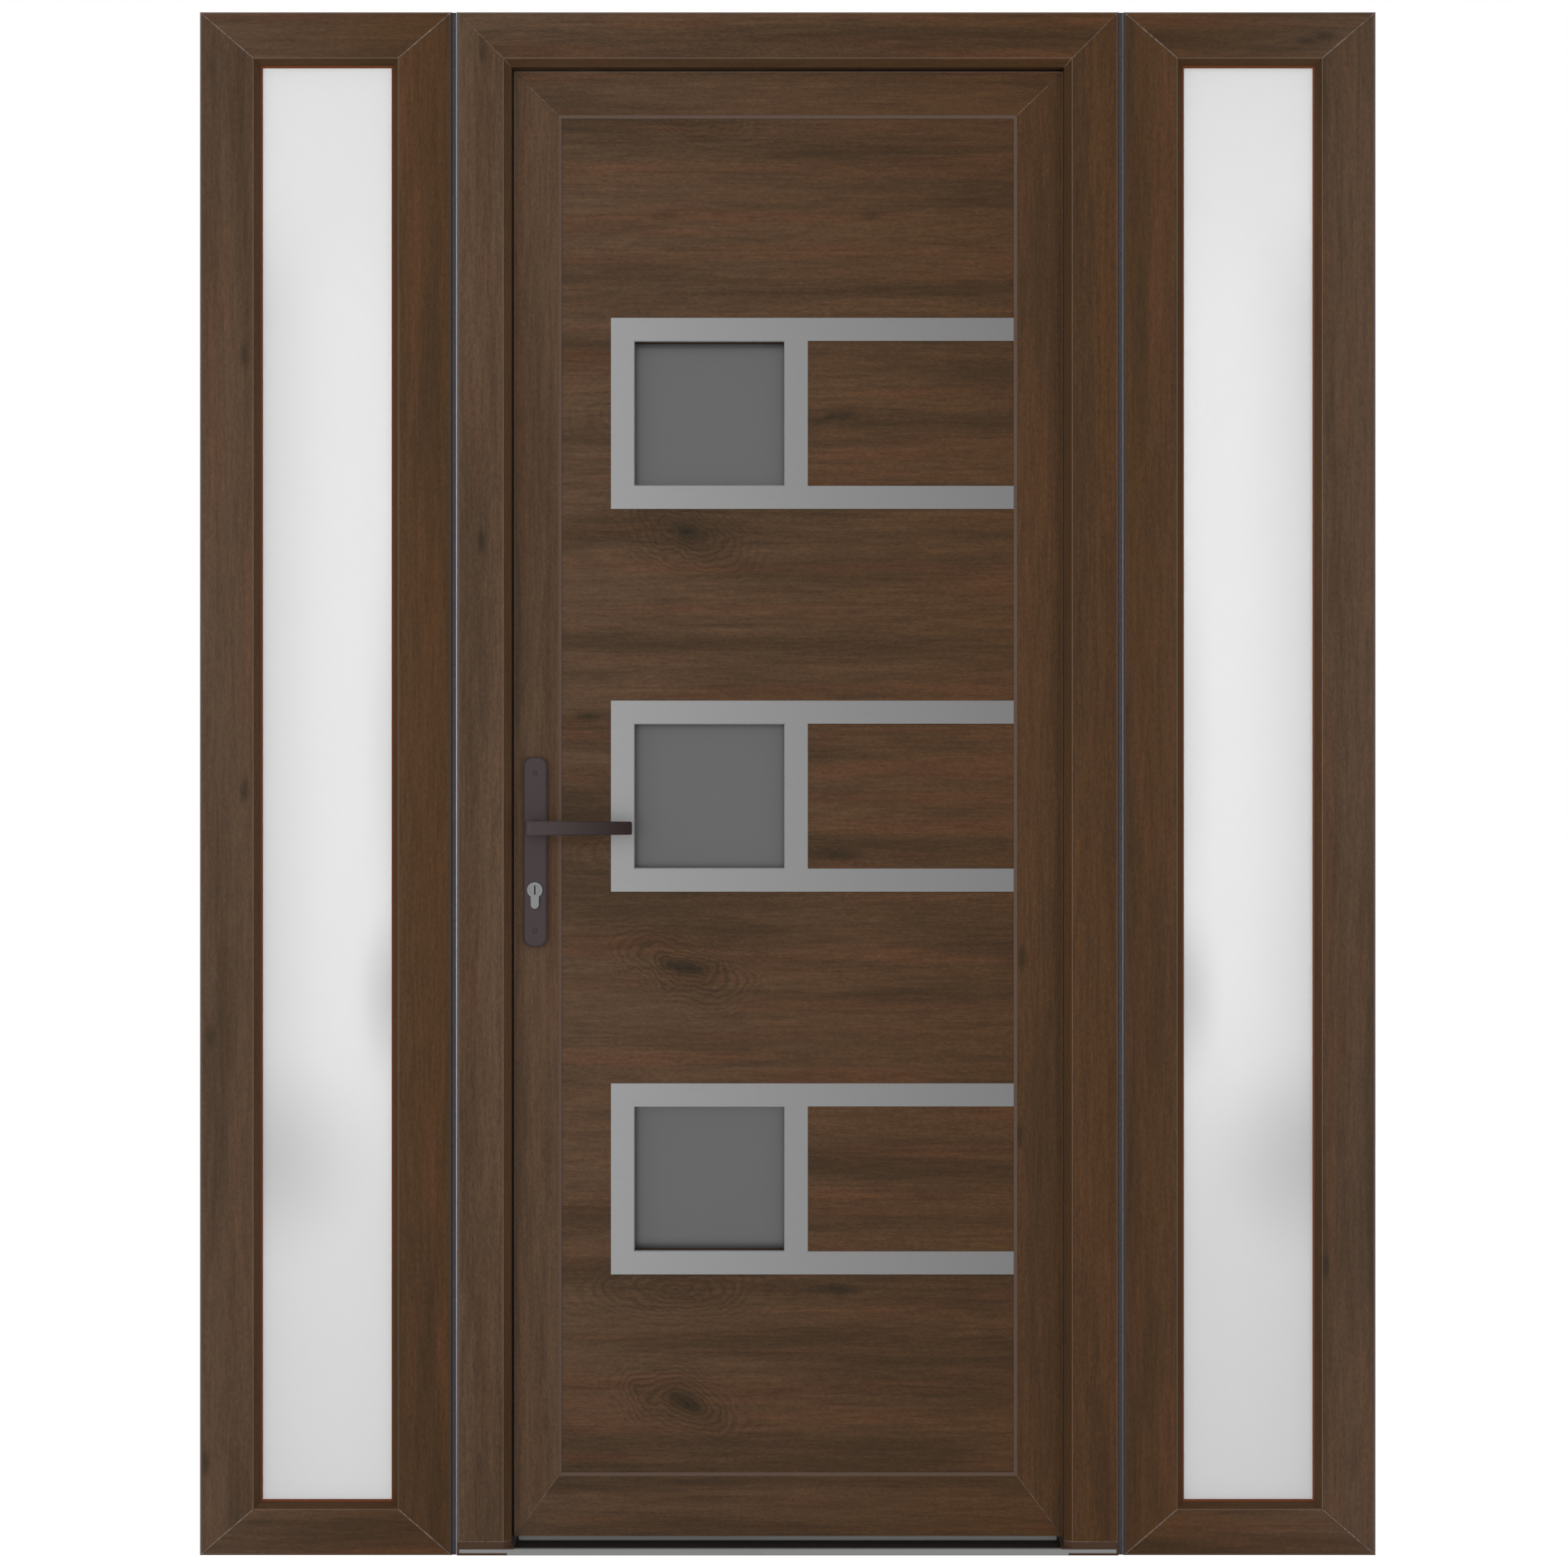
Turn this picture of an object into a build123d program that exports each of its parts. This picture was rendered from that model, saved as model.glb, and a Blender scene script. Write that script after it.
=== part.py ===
"""Exterior entrance door with two fixed sidelights.

The unit stands on its threshold: x = 0 mid-width, y = 0 mid-depth of the frame, z = 0 underside.
The outside of the building is at -Y, the inside at +Y. All sizes are in millimetres.
"""
import os
from build123d import *

# Whole unit
UNIT_HEIGHT = 2100.0
DOOR_WIDTH = 900.0
SIDELIGHT_WIDTH = 343.0
COUPLING_WIDTH = 7.0
COUPLING_INSET = 4.0

# Frame profile, measured inwards from its outer edge
FRAME_DEPTH = 70.0
FRAME_FACE = 63.0
FRAME_BEVEL = 10.5
BEVEL_DEPTH = 8.0
FRAME_LIP = 9.0
FRAME_BODY = 48.0
FACE_EDGE_RADIUS = 2.5
LIP_EDGE_RADIUS = 1.5
BACK_EDGE_RADIUS = 2.0
WALL_EDGE_RADIUS = 1.0

# Black gaskets of the frame's lip and of the leaf's flange
GASKET_GROOVE_FAR = 7.5
GASKET_GROOVE_NEAR = 4.0
GASKET_GROOVE_DEPTH = 3.0
GASKET_FACE_GAP = 0.5
GASKET_LIP_NEAR = 1.5
GASKET_LIP_FAR = 7.0
GASKET_ROOT_FAR = 8.5
FLANGE_GASKET_ROOT = (13.0, 19.0)
FLANGE_GASKET_LIP = (14.0, 18.0)

# Edge groove that takes the lock's faceplate and, in the frame, the strike plates
GROOVE_DEPTH = 3.0
GROOVE_WIDTH = 16.0
GROOVE_CENTRE = 16.0

# Leaf profile, measured inwards from the leaf's outer edge
LEAF_DEPTH = 70.0
LEAF_OVERLAP = 13.5
SEAL_GAP = 5.0
LEAF_BOTTOM = 20.5
STILE_WIDTH = 76.0
TOP_RAIL_WIDTH = 75.0
BOTTOM_RAIL_WIDTH = 82.0
FLANGE_WIDTH = 20.0
FLANGE_DEPTH = 17.0
FLANGE_EDGE_RADIUS = 3.0
GLAZING_LIP = 18.0
GLAZING_LIP_THICK = 3.0

# Infill panel, its soft seal, its beads and its small panes
PANEL_THICK = 44.0
PANEL_PLAY = 3.0
PANEL_SEAL_WIDTH = 4.6
PANEL_SEAL_HIGH_EDGE = 2.7
PANEL_SEAL_LOW_EDGE = 1.2
PANEL_BEAD_WALL = 8.0
PANEL_BEAD_SLOPE = 7.0
TRIM_THICK = 1.5
TRIM_LEFT = -242.0
TRIM_BAND = 31.5
TRIM_HEIGHT = 261.5
TRIM_CENTRES = {"top_trim": 1557.0, "middle_trim": 1033.0, "bottom_trim": 509.0}
PANE_WIDTH = 206.5
PANE_HEIGHT = 198.5
PANE_EDGE = 12.0
PANE_PLAY = 1.0
PANE_THICK = 18.0
INNER_FRAME_WIDTH = 26.0
INNER_FRAME_THICK = 6.0
INNER_FRAME_STEP = 4.0
INNER_FRAME_SLOPE = 2.0

# Sidelight profiles
SIDE_STILE_FACE = 73.0
SIDE_RAIL_FACE = 63.0
SIDE_BEVEL = 8.0
SIDE_REBATE = 18.0
SIDE_GASKET = 2.5
SIDE_GASKET_ROOT = 4.0
SIDE_GASKET_THICK = 2.0
SIDE_GASKET_LIP = 1.5
SIDE_BEAD_SLOPE = 6.0
GLASS_THICK = 24.0
GLASS_FRONT = 13.0

# Threshold
THRESHOLD_HEIGHT = 9.0
NOSE_THICK = 2.5
NOSE_RETURN = 6.0
NOSE_CAP = 2.0
NOSE_HALF_LENGTH = 382.0
TONGUE_BOTTOM = 3.3
END_WALL = 3.0
BLOCK_WIDTH = 77.0
BLOCK_SHOULDER = 10.6
JAMB_BOTTOM = 18.7

# Drop seal under the leaf
CHANNEL_END_GAP = 8.5
CHANNEL_HEIGHT = 6.0
CHANNEL_WIDTH = 18.0
CHANNEL_WALL = 2.0
FIN_BELOW_CHANNEL = 0.5

# Handle
HANDLE_X = -345.0
LEVER_Z = 990.0
PLATE_CENTRE_Z = 957.0
PLATE_WIDTH = 33.0
PLATE_HEIGHT = 260.0
PLATE_THICK = 10.0
PLATE_END_RADIUS = 13.5
PLATE_CHAMFER = 2.5
NECK_RADIUS = 10.0
NECK_PLAY = 0.25
NECK_SEAT = 2.0
LEVER_ROOT_HEIGHT = 20.0
LEVER_TIP_HEIGHT = 17.5
LEVER_THICK = 12.0
LEVER_LENGTH = 134.6
LEVER_REACH = 50.0
LEVER_BEND = 9.0
LEVER_TIP_RADIUS = 1.5
LEVER_CHAMFER = 1.2
SPINDLE = 8.0
SPINDLE_DEPTH = 24.0
SPINDLE_HOLE_RADIUS = 11.0

# Lock and its cylinder
CYLINDER_Z = 905.0
CYLINDER_RADIUS = 10.5
CYLINDER_BODY = 11.0
CYLINDER_HEIGHT = 36.0
CYLINDER_PROUD = 3.0
CYLINDER_PLAY = 0.5
KEY_SLOT_WIDTH = 2.0
KEY_SLOT_HEIGHT = 12.0
KEY_SLOT_DEPTH = 9.0
FACEPLATE_ENDS = (160.0, 1900.0)
BOLT_WIDTH = 11.0
LATCH_Z = 1010.0
LATCH_HALF = 15.0
LATCH_PROUD = 1.5
HOOK_HEIGHTS = (400.0, 930.0, 1650.0)
HOOK_HALF = 18.0
HOOK_PROUD = 0.5
STRIKES = ((400.0, 60.0), (970.0, 105.0), (1650.0, 60.0))
STRIKE_RIM = 24.0
STRIKE_THICK = 1.0

# Hinges
HINGE_X = 418.0
HINGE_Y = 69.0
HINGE_CENTRES = (250.0, 1030.0, 1810.0)
BARREL_RADIUS = 9.0
PIN_RADIUS = 5.0
PIN_PLAY = 0.1
HINGE_LENGTH = 110.0
MIDDLE_KNUCKLE = 46.0
KNUCKLE_GAP = 1.0
KNUCKLE_CHAMFER = 1.2
HINGE_PLATE = 4.0
HINGE_PLATE_REACH = 38.0
HINGE_ARM_EDGE = 13.0
HINGE_LEAN = 1.5
HINGE_CORNER = 5.0

# Worked out from the sizes above
FRONT = -FRAME_DEPTH / 2
BACK = FRAME_DEPTH / 2
HALF_DOOR = DOOR_WIDTH / 2
LIP_EDGE = FRAME_FACE + FRAME_BEVEL
LIP_BACK = FRONT + BEVEL_DEPTH + FRAME_LIP
LEAF_FRONT = LIP_BACK + SEAL_GAP
LEAF_BACK = LEAF_FRONT + LEAF_DEPTH
FLANGE_FRONT = LEAF_BACK - FLANGE_DEPTH
LEAF_HALF = HALF_DOOR - LIP_EDGE + LEAF_OVERLAP
LEAF_TOP = UNIT_HEIGHT - LIP_EDGE + LEAF_OVERLAP
PANEL_FRONT = LEAF_FRONT + GLAZING_LIP_THICK
PANEL_BACK = PANEL_FRONT + PANEL_THICK
SIGHT_X = LEAF_HALF - STILE_WIDTH
SIGHT_LOW = LEAF_BOTTOM + BOTTOM_RAIL_WIDTH
SIGHT_HIGH = LEAF_TOP - TOP_RAIL_WIDTH
PANE_LEFT = TRIM_LEFT + TRIM_BAND
PANE_FRONT = PANEL_BACK - PANE_THICK
SIDE_INNER = HALF_DOOR + COUPLING_WIDTH
SIDE_OUTER = SIDE_INNER + SIDELIGHT_WIDTH
GLASS_FACE = FRONT + GLASS_FRONT
GLASS_BACK = GLASS_FACE + GLASS_THICK

# How far cutting shapes and bars run past what they cut or join
REACH = 60.0
CORNER_RUN = 40.0

os.makedirs("parts", exist_ok=True)
nodes = {}


def outline(points, rounded=()):
    """A closed face from its corner points; rounded lists (corner number, radius)."""
    face = make_face(Polyline(*points, close=True))
    for number, radius in rounded:
        corner = Vector(*points[number])
        nearest = min(face.vertices(), key=lambda v: (Vector(v.X, v.Y) - corner).length)
        face = fillet(nearest, radius)
    return face


def upright(section, x_edge, inward, low, high, rounded=()):
    """A vertical bar: section gives (distance inwards from x_edge, y)."""
    face = outline([(x_edge + inward * u, y) for u, y in section], rounded)
    return Pos(0, 0, low) * extrude(Plane.XY * face, amount=high - low)


def crossbar(section, z_edge, inward, left, right, rounded=()):
    """A horizontal bar: section gives (distance inwards from z_edge, y)."""
    face = outline([(y, z_edge + inward * u) for u, y in section], rounded)
    return Pos(left, 0, 0) * extrude(Plane.YZ * face, amount=right - left)


def mitred(bar, corners):
    """The part of a bar inside its own front outline, whose corners are given as (x, z)."""
    front = Plane.XZ * make_face(Polyline(*corners, close=True))
    return bar & extrude(front, amount=4 * REACH, both=True)


def ring(section, left, right, low, high, open_bottom=False):
    """Four mitred bars joined round a rectangle, or three with an open bottom."""
    half = 0.45 * min(right - left, high - low)
    foot = (left - REACH, low) if open_bottom else (left - REACH, low - REACH)
    heel = (left + half, low) if open_bottom else (left + half, low + half)
    side = [foot, (left - REACH, high + REACH), (left + half, high - half), heel]
    bar_low = low if open_bottom else low - REACH
    left_bar = mitred(upright(section, left, 1, bar_low, high + REACH), side)
    mirrored = [(left + right - x, z) for x, z in side]
    right_bar = mitred(upright(section, right, -1, bar_low, high + REACH), mirrored)
    top = [(left - REACH, high + REACH), (right + REACH, high + REACH),
           (right - half, high - half), (left + half, high - half)]
    joined = left_bar + right_bar
    joined += mitred(crossbar(section, high, -1, left - REACH, right + REACH), top)
    if not open_bottom:
        bottom = [(x, low + high - z) for x, z in top]
        joined += mitred(crossbar(section, low, 1, left - REACH, right + REACH), bottom)
    return joined


def block(x, y, z):
    """A plain box between pairs of limits."""
    return Pos((x[0] + x[1]) / 2, (y[0] + y[1]) / 2, (z[0] + z[1]) / 2) * Box(
        x[1] - x[0], y[1] - y[0], z[1] - z[0])


def rod(radius, centre, low, high):
    """An upright cylinder between two heights."""
    return Pos(centre[0], centre[1], (low + high) / 2) * Cylinder(radius, high - low)


def along_y(face_xz, y_low, y_high):
    """A front outline, drawn in x and z, carried from y_low to y_high."""
    return Pos(0, y_low, 0) * extrude(Plane.XZ * face_xz, amount=-(y_high - y_low))


# Outer frame: two jambs and a head with a bevelled lip outside, mitred and welded at the top
groove_low = GROOVE_CENTRE - GROOVE_WIDTH / 2
groove_high = GROOVE_CENTRE + GROOVE_WIDTH / 2
gasket_far = LIP_EDGE - GASKET_GROOVE_FAR
gasket_near = LIP_EDGE - GASKET_GROOVE_NEAR
gasket_floor = LIP_BACK - GASKET_GROOVE_DEPTH
frame_section = [
    (0, FRONT), (FRAME_FACE, FRONT), (LIP_EDGE, FRONT + BEVEL_DEPTH), (LIP_EDGE, LIP_BACK),
    (gasket_near, LIP_BACK), (gasket_near, gasket_floor), (gasket_far, gasket_floor),
    (gasket_far, LIP_BACK), (FRAME_BODY, LIP_BACK), (FRAME_BODY, groove_low),
    (FRAME_BODY - GROOVE_DEPTH, groove_low), (FRAME_BODY - GROOVE_DEPTH, groove_high),
    (FRAME_BODY, groove_high), (FRAME_BODY, BACK), (0, BACK)]
frame_rounded = ((0, FACE_EDGE_RADIUS), (1, FACE_EDGE_RADIUS), (2, LIP_EDGE_RADIUS),
                 (13, BACK_EDGE_RADIUS), (14, WALL_EDGE_RADIUS))
mitre_x = HALF_DOOR - REACH - LIP_EDGE
mitre_z = UNIT_HEIGHT - REACH - LIP_EDGE
jamb_outline = [(-HALF_DOOR, JAMB_BOTTOM), (-HALF_DOOR, UNIT_HEIGHT), (-mitre_x, mitre_z),
                (-mitre_x, JAMB_BOTTOM)]
left_jamb = mitred(upright(frame_section, -HALF_DOOR, 1, JAMB_BOTTOM, UNIT_HEIGHT, frame_rounded),
                   jamb_outline)
nodes["left_jamb"] = left_jamb
nodes["right_jamb"] = mirror(left_jamb, about=Plane.YZ)
head_outline = [(-HALF_DOOR, UNIT_HEIGHT), (HALF_DOOR, UNIT_HEIGHT), (mitre_x, mitre_z),
                (-mitre_x, mitre_z)]
nodes["head"] = mitred(
    crossbar(frame_section, UNIT_HEIGHT, -1, -HALF_DOOR, HALF_DOOR, frame_rounded), head_outline)

# Black gasket on the back of the frame's lip, all round but the threshold
gasket_tip = LEAF_FRONT - GASKET_FACE_GAP
frame_gasket_section = [
    (gasket_far, gasket_floor), (gasket_near, gasket_floor), (gasket_near, LIP_BACK),
    (LIP_EDGE - GASKET_FACE_GAP, LIP_BACK), (LIP_EDGE - GASKET_LIP_NEAR, gasket_tip),
    (LIP_EDGE - GASKET_LIP_FAR, gasket_tip), (LIP_EDGE - GASKET_ROOT_FAR, LIP_BACK),
    (gasket_far, LIP_BACK)]
nodes["frame_gasket"] = ring(frame_gasket_section, -HALF_DOOR, HALF_DOOR, JAMB_BOTTOM,
                             UNIT_HEIGHT, open_bottom=True)

# Threshold: aluminium nose over a plastic core, both notched into the end blocks
tongue = HALF_DOOR - END_WALL


def notched(bar):
    """The threshold's ends, cut away underneath where the end blocks hold them."""
    for side in (-1, 1):
        ends = sorted((side * NOSE_HALF_LENGTH, side * HALF_DOOR))
        bar -= block(ends, (FRONT - 1, BACK + 1), (-1, TONGUE_BOTTOM))
    return bar


cap_z = THRESHOLD_HEIGHT - NOSE_CAP
nose_section = [(0, FRONT), (THRESHOLD_HEIGHT - 1, FRONT), (THRESHOLD_HEIGHT, FRONT + 1),
                (THRESHOLD_HEIGHT, FRONT + NOSE_RETURN), (cap_z, FRONT + NOSE_RETURN),
                (cap_z, FRONT + NOSE_THICK), (0, FRONT + NOSE_THICK)]
nodes["threshold_nose"] = notched(crossbar(nose_section, 0, 1, -tongue, tongue))
core_section = [(0, FRONT + NOSE_THICK), (cap_z, FRONT + NOSE_THICK), (cap_z, FRONT + NOSE_RETURN),
                (THRESHOLD_HEIGHT, FRONT + NOSE_RETURN), (THRESHOLD_HEIGHT, BACK - NOSE_CAP),
                (cap_z, BACK), (0, BACK)]
nodes["threshold_core"] = notched(crossbar(core_section, 0, 1, -tongue, tongue))
block_base = block((-HALF_DOOR, -HALF_DOOR + BLOCK_WIDTH), (FRONT, BACK), (0, BLOCK_SHOULDER))
channel = block((-tongue, 0), (FRONT - 1, BACK + 1), (TONGUE_BOTTOM, THRESHOLD_HEIGHT))
underside = block((-NOSE_HALF_LENGTH, 0), (FRONT - 1, BACK + 1), (-1, THRESHOLD_HEIGHT))
shoulder = upright(frame_section, -HALF_DOOR, 1, BLOCK_SHOULDER, JAMB_BOTTOM, frame_rounded)
end_block = block_base - channel - underside + shoulder
nodes["threshold_end_blocks"] = Compound([end_block, mirror(end_block, about=Plane.YZ)])

# Coupling strips that join the sidelights to the door frame
strip = block((-SIDE_INNER, -HALF_DOOR), (FRONT + COUPLING_INSET, BACK - COUPLING_INSET),
              (0, UNIT_HEIGHT))
nodes["coupling_strips"] = Compound([strip, mirror(strip, about=Plane.YZ)])


# Sidelights: four mitred bars round a fixed double-glazed unit
def side_section(face_width):
    """The fixed frame's profile for a face of the given width."""
    foot = face_width + SIDE_BEVEL
    rebate_y = GLASS_FACE - SIDE_GASKET_THICK
    return [(0, FRONT), (face_width, FRONT), (foot, FRONT + BEVEL_DEPTH), (foot, rebate_y),
            (foot - SIDE_REBATE, rebate_y), (foot - SIDE_REBATE, BACK), (0, BACK)]


side_rounded = ((0, FACE_EDGE_RADIUS), (1, FACE_EDGE_RADIUS), (5, BACK_EDGE_RADIUS),
                (6, WALL_EDGE_RADIUS))
glass_edge_x = SIDE_STILE_FACE + SIDE_BEVEL - SIDE_REBATE + PANEL_PLAY
glass_edge_z = SIDE_RAIL_FACE + SIDE_BEVEL - SIDE_REBATE + PANEL_PLAY
stile_steps = [(0, 0), (SIDE_STILE_FACE, SIDE_RAIL_FACE),
               (SIDE_STILE_FACE + CORNER_RUN, SIDE_RAIL_FACE + CORNER_RUN)]
stile_shape = stile_steps + [(u, UNIT_HEIGHT - z) for u, z in reversed(stile_steps)]
gasket_back = GLASS_FACE - SIDE_GASKET_THICK
gasket_section = [(-SIDE_GASKET_ROOT, gasket_back), (0, gasket_back),
                  (0, gasket_back - SIDE_GASKET_LIP), (SIDE_GASKET, gasket_back),
                  (SIDE_GASKET, GLASS_FACE), (-SIDE_GASKET_ROOT, GLASS_FACE)]
bead_section = [(-SIDE_REBATE, GLASS_BACK), (0, GLASS_BACK), (0, GLASS_BACK + SIDE_BEAD_SLOPE),
                (-SIDE_BEAD_SLOPE, BACK), (-SIDE_REBATE, BACK)]
gaskets = []
beads = []
for side_name, sign in (("left", -1), ("right", 1)):
    for bar_name, edge, inward in (("outer_stile", SIDE_OUTER, -1), ("inner_stile", SIDE_INNER, 1)):
        shape = [(sign * (edge + inward * u), z) for u, z in stile_shape]
        bar = upright(side_section(SIDE_STILE_FACE), sign * edge, sign * inward, 0, UNIT_HEIGHT,
                      side_rounded)
        nodes[f"{side_name}_sidelight_{bar_name}"] = mitred(bar, shape)
    left_end, right_end = sorted((sign * SIDE_INNER, sign * SIDE_OUTER))
    rail_shape = ([(left_end + u, z) for u, z in stile_steps]
                  + [(right_end - u, z) for u, z in reversed(stile_steps)])
    sill = crossbar(side_section(SIDE_RAIL_FACE), 0, 1, left_end, right_end, side_rounded)
    nodes[f"{side_name}_sidelight_sill"] = mitred(sill, rail_shape)
    top = crossbar(side_section(SIDE_RAIL_FACE), UNIT_HEIGHT, -1, left_end, right_end, side_rounded)
    nodes[f"{side_name}_sidelight_head"] = mitred(top, [(x, UNIT_HEIGHT - z) for x, z in rail_shape])
    nodes[f"{side_name}_sidelight_glass"] = block(
        (left_end + glass_edge_x, right_end - glass_edge_x), (GLASS_FACE, GLASS_BACK),
        (glass_edge_z, UNIT_HEIGHT - glass_edge_z))
    opening = (left_end + SIDE_STILE_FACE + SIDE_BEVEL, right_end - SIDE_STILE_FACE - SIDE_BEVEL,
               SIDE_RAIL_FACE + SIDE_BEVEL, UNIT_HEIGHT - SIDE_RAIL_FACE - SIDE_BEVEL)
    gaskets.append(ring(gasket_section, *opening))
    beads.append(ring(bead_section, *opening))
nodes["sidelight_gaskets"] = Compound(gaskets)
nodes["sidelight_beads"] = Compound(beads)


# Leaf: stiles and rails, welded at mitres, with a flange inside that laps the frame
def leaf_section(width, flange=True):
    """The leaf's profile for a bar of the given width."""
    points = [(0, LEAF_FRONT), (width, LEAF_FRONT), (width, PANEL_FRONT),
              (width - GLAZING_LIP, PANEL_FRONT), (width - GLAZING_LIP, LEAF_BACK)]
    if flange:
        return points + [(-FLANGE_WIDTH, LEAF_BACK), (-FLANGE_WIDTH, FLANGE_FRONT),
                         (0, FLANGE_FRONT), (0, groove_high), (GROOVE_DEPTH, groove_high),
                         (GROOVE_DEPTH, groove_low), (0, groove_low)]
    return points + [(0, LEAF_BACK)]


leaf_rounded = ((0, BACK_EDGE_RADIUS), (5, FLANGE_EDGE_RADIUS), (6, WALL_EDGE_RADIUS))
flange_x = LEAF_HALF + FLANGE_WIDTH
flange_z = LEAF_TOP + FLANGE_WIDTH
visible_x = HALF_DOOR - LIP_EDGE
run_x = SIGHT_X - CORNER_RUN
stile_corners = [
    (-flange_x, LEAF_BOTTOM), (-flange_x, flange_z), (-SIGHT_X, SIGHT_HIGH),
    (-run_x, SIGHT_HIGH - CORNER_RUN), (-run_x, SIGHT_LOW + CORNER_RUN),
    (-SIGHT_X, SIGHT_LOW), (-visible_x, LEAF_BOTTOM)]
lock_stile = mitred(upright(leaf_section(STILE_WIDTH), -LEAF_HALF, 1, LEAF_BOTTOM, flange_z,
                            leaf_rounded), stile_corners)
nodes["hinge_stile"] = mirror(lock_stile, about=Plane.YZ)
top_corners = [(-flange_x, flange_z), (flange_x, flange_z), (SIGHT_X, SIGHT_HIGH),
               (run_x, SIGHT_HIGH - CORNER_RUN), (-run_x, SIGHT_HIGH - CORNER_RUN),
               (-SIGHT_X, SIGHT_HIGH)]
nodes["top_rail"] = mitred(
    crossbar(leaf_section(TOP_RAIL_WIDTH), LEAF_TOP, -1, -flange_x, flange_x, leaf_rounded),
    top_corners)
bottom_corners = [(-visible_x, LEAF_BOTTOM), (visible_x, LEAF_BOTTOM), (SIGHT_X, SIGHT_LOW),
                  (run_x, SIGHT_LOW + CORNER_RUN), (-run_x, SIGHT_LOW + CORNER_RUN),
                  (-SIGHT_X, SIGHT_LOW)]
nodes["bottom_rail"] = mitred(
    crossbar(leaf_section(BOTTOM_RAIL_WIDTH, flange=False), LEAF_BOTTOM, 1, -visible_x, visible_x),
    bottom_corners)

# Gasket of the leaf, on its flange
leaf_gasket_section = [
    (-FLANGE_GASKET_ROOT[0], FLANGE_FRONT), (-FLANGE_GASKET_ROOT[1], FLANGE_FRONT),
    (-FLANGE_GASKET_LIP[1], BACK + GASKET_FACE_GAP), (-FLANGE_GASKET_LIP[0], BACK + GASKET_FACE_GAP)]
nodes["leaf_gasket"] = ring(leaf_gasket_section, -LEAF_HALF, LEAF_HALF, LEAF_BOTTOM, LEAF_TOP,
                            open_bottom=True)

# Soft seal round the infill panel outside, and the glazing beads that hold it from inside
panel_seal_section = [(0, PANEL_FRONT), (0, PANEL_FRONT - PANEL_SEAL_HIGH_EDGE),
                      (PANEL_SEAL_WIDTH, PANEL_FRONT - PANEL_SEAL_LOW_EDGE),
                      (PANEL_SEAL_WIDTH, PANEL_FRONT)]
nodes["panel_seal"] = ring(panel_seal_section, -SIGHT_X, SIGHT_X, SIGHT_LOW, SIGHT_HIGH)
panel_bead_section = [(-GLAZING_LIP, PANEL_BACK), (0, PANEL_BACK), (0, PANEL_BACK + PANEL_BEAD_WALL),
                      (-PANEL_BEAD_SLOPE, LEAF_BACK), (-GLAZING_LIP, LEAF_BACK)]
nodes["panel_beads"] = ring(panel_bead_section, -SIGHT_X, SIGHT_X, SIGHT_LOW, SIGHT_HIGH)

# Infill panel with three stepped openings, each with a pane from behind and a frame over its edge
panel_x = SIGHT_X + GLAZING_LIP - PANEL_PLAY
panel = block((-panel_x, panel_x), (PANEL_FRONT, PANEL_BACK),
              (SIGHT_LOW - GLAZING_LIP + PANEL_PLAY, SIGHT_HIGH + GLAZING_LIP - PANEL_PLAY))
frame_back = PANEL_BACK + INNER_FRAME_THICK
inner_frame_section = [
    (0, PANEL_BACK), (-INNER_FRAME_WIDTH, PANEL_BACK),
    (-INNER_FRAME_WIDTH, PANEL_BACK + INNER_FRAME_STEP),
    (-INNER_FRAME_WIDTH + INNER_FRAME_SLOPE, frame_back),
    (-INNER_FRAME_STEP, frame_back), (0, frame_back - INNER_FRAME_STEP)]
panes = []
inner_frames = []
for trim_name, centre_z in TRIM_CENTRES.items():
    pane_x = (PANE_LEFT, PANE_LEFT + PANE_WIDTH)
    pane_z = (centre_z - PANE_HEIGHT / 2, centre_z + PANE_HEIGHT / 2)
    rebate_x = (pane_x[0] - PANE_EDGE, pane_x[1] + PANE_EDGE)
    rebate_z = (pane_z[0] - PANE_EDGE, pane_z[1] + PANE_EDGE)
    panel -= block(pane_x, (PANEL_FRONT - 1, PANEL_BACK + 1), pane_z)
    panel -= block(rebate_x, (PANE_FRONT, PANEL_BACK + 1), rebate_z)
    panes.append(block((rebate_x[0] + PANE_PLAY, rebate_x[1] - PANE_PLAY), (PANE_FRONT, PANEL_BACK),
                       (rebate_z[0] + PANE_PLAY, rebate_z[1] - PANE_PLAY)))
    inner_frames.append(ring(inner_frame_section, *pane_x, *pane_z))

    # Steel trim: one sheet, a square round the pane and two strips that run on to the seal
    low, high = centre_z - TRIM_HEIGHT / 2, centre_z + TRIM_HEIGHT / 2
    sheet_end = SIGHT_X - PANEL_SEAL_WIDTH
    sheet_y = (PANEL_FRONT - TRIM_THICK, PANEL_FRONT)
    punch_y = (sheet_y[0] - 1, sheet_y[1] + 1)
    sheet = block((TRIM_LEFT, sheet_end), sheet_y, (low, high))
    sheet -= block(pane_x, punch_y, pane_z)
    sheet -= block((pane_x[1] + TRIM_BAND, sheet_end + 1), punch_y, pane_z)
    nodes[trim_name] = sheet
nodes["panel"] = panel
nodes["leaf_panes"] = Compound(panes)
nodes["pane_inner_frames"] = Compound(inner_frames)

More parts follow.
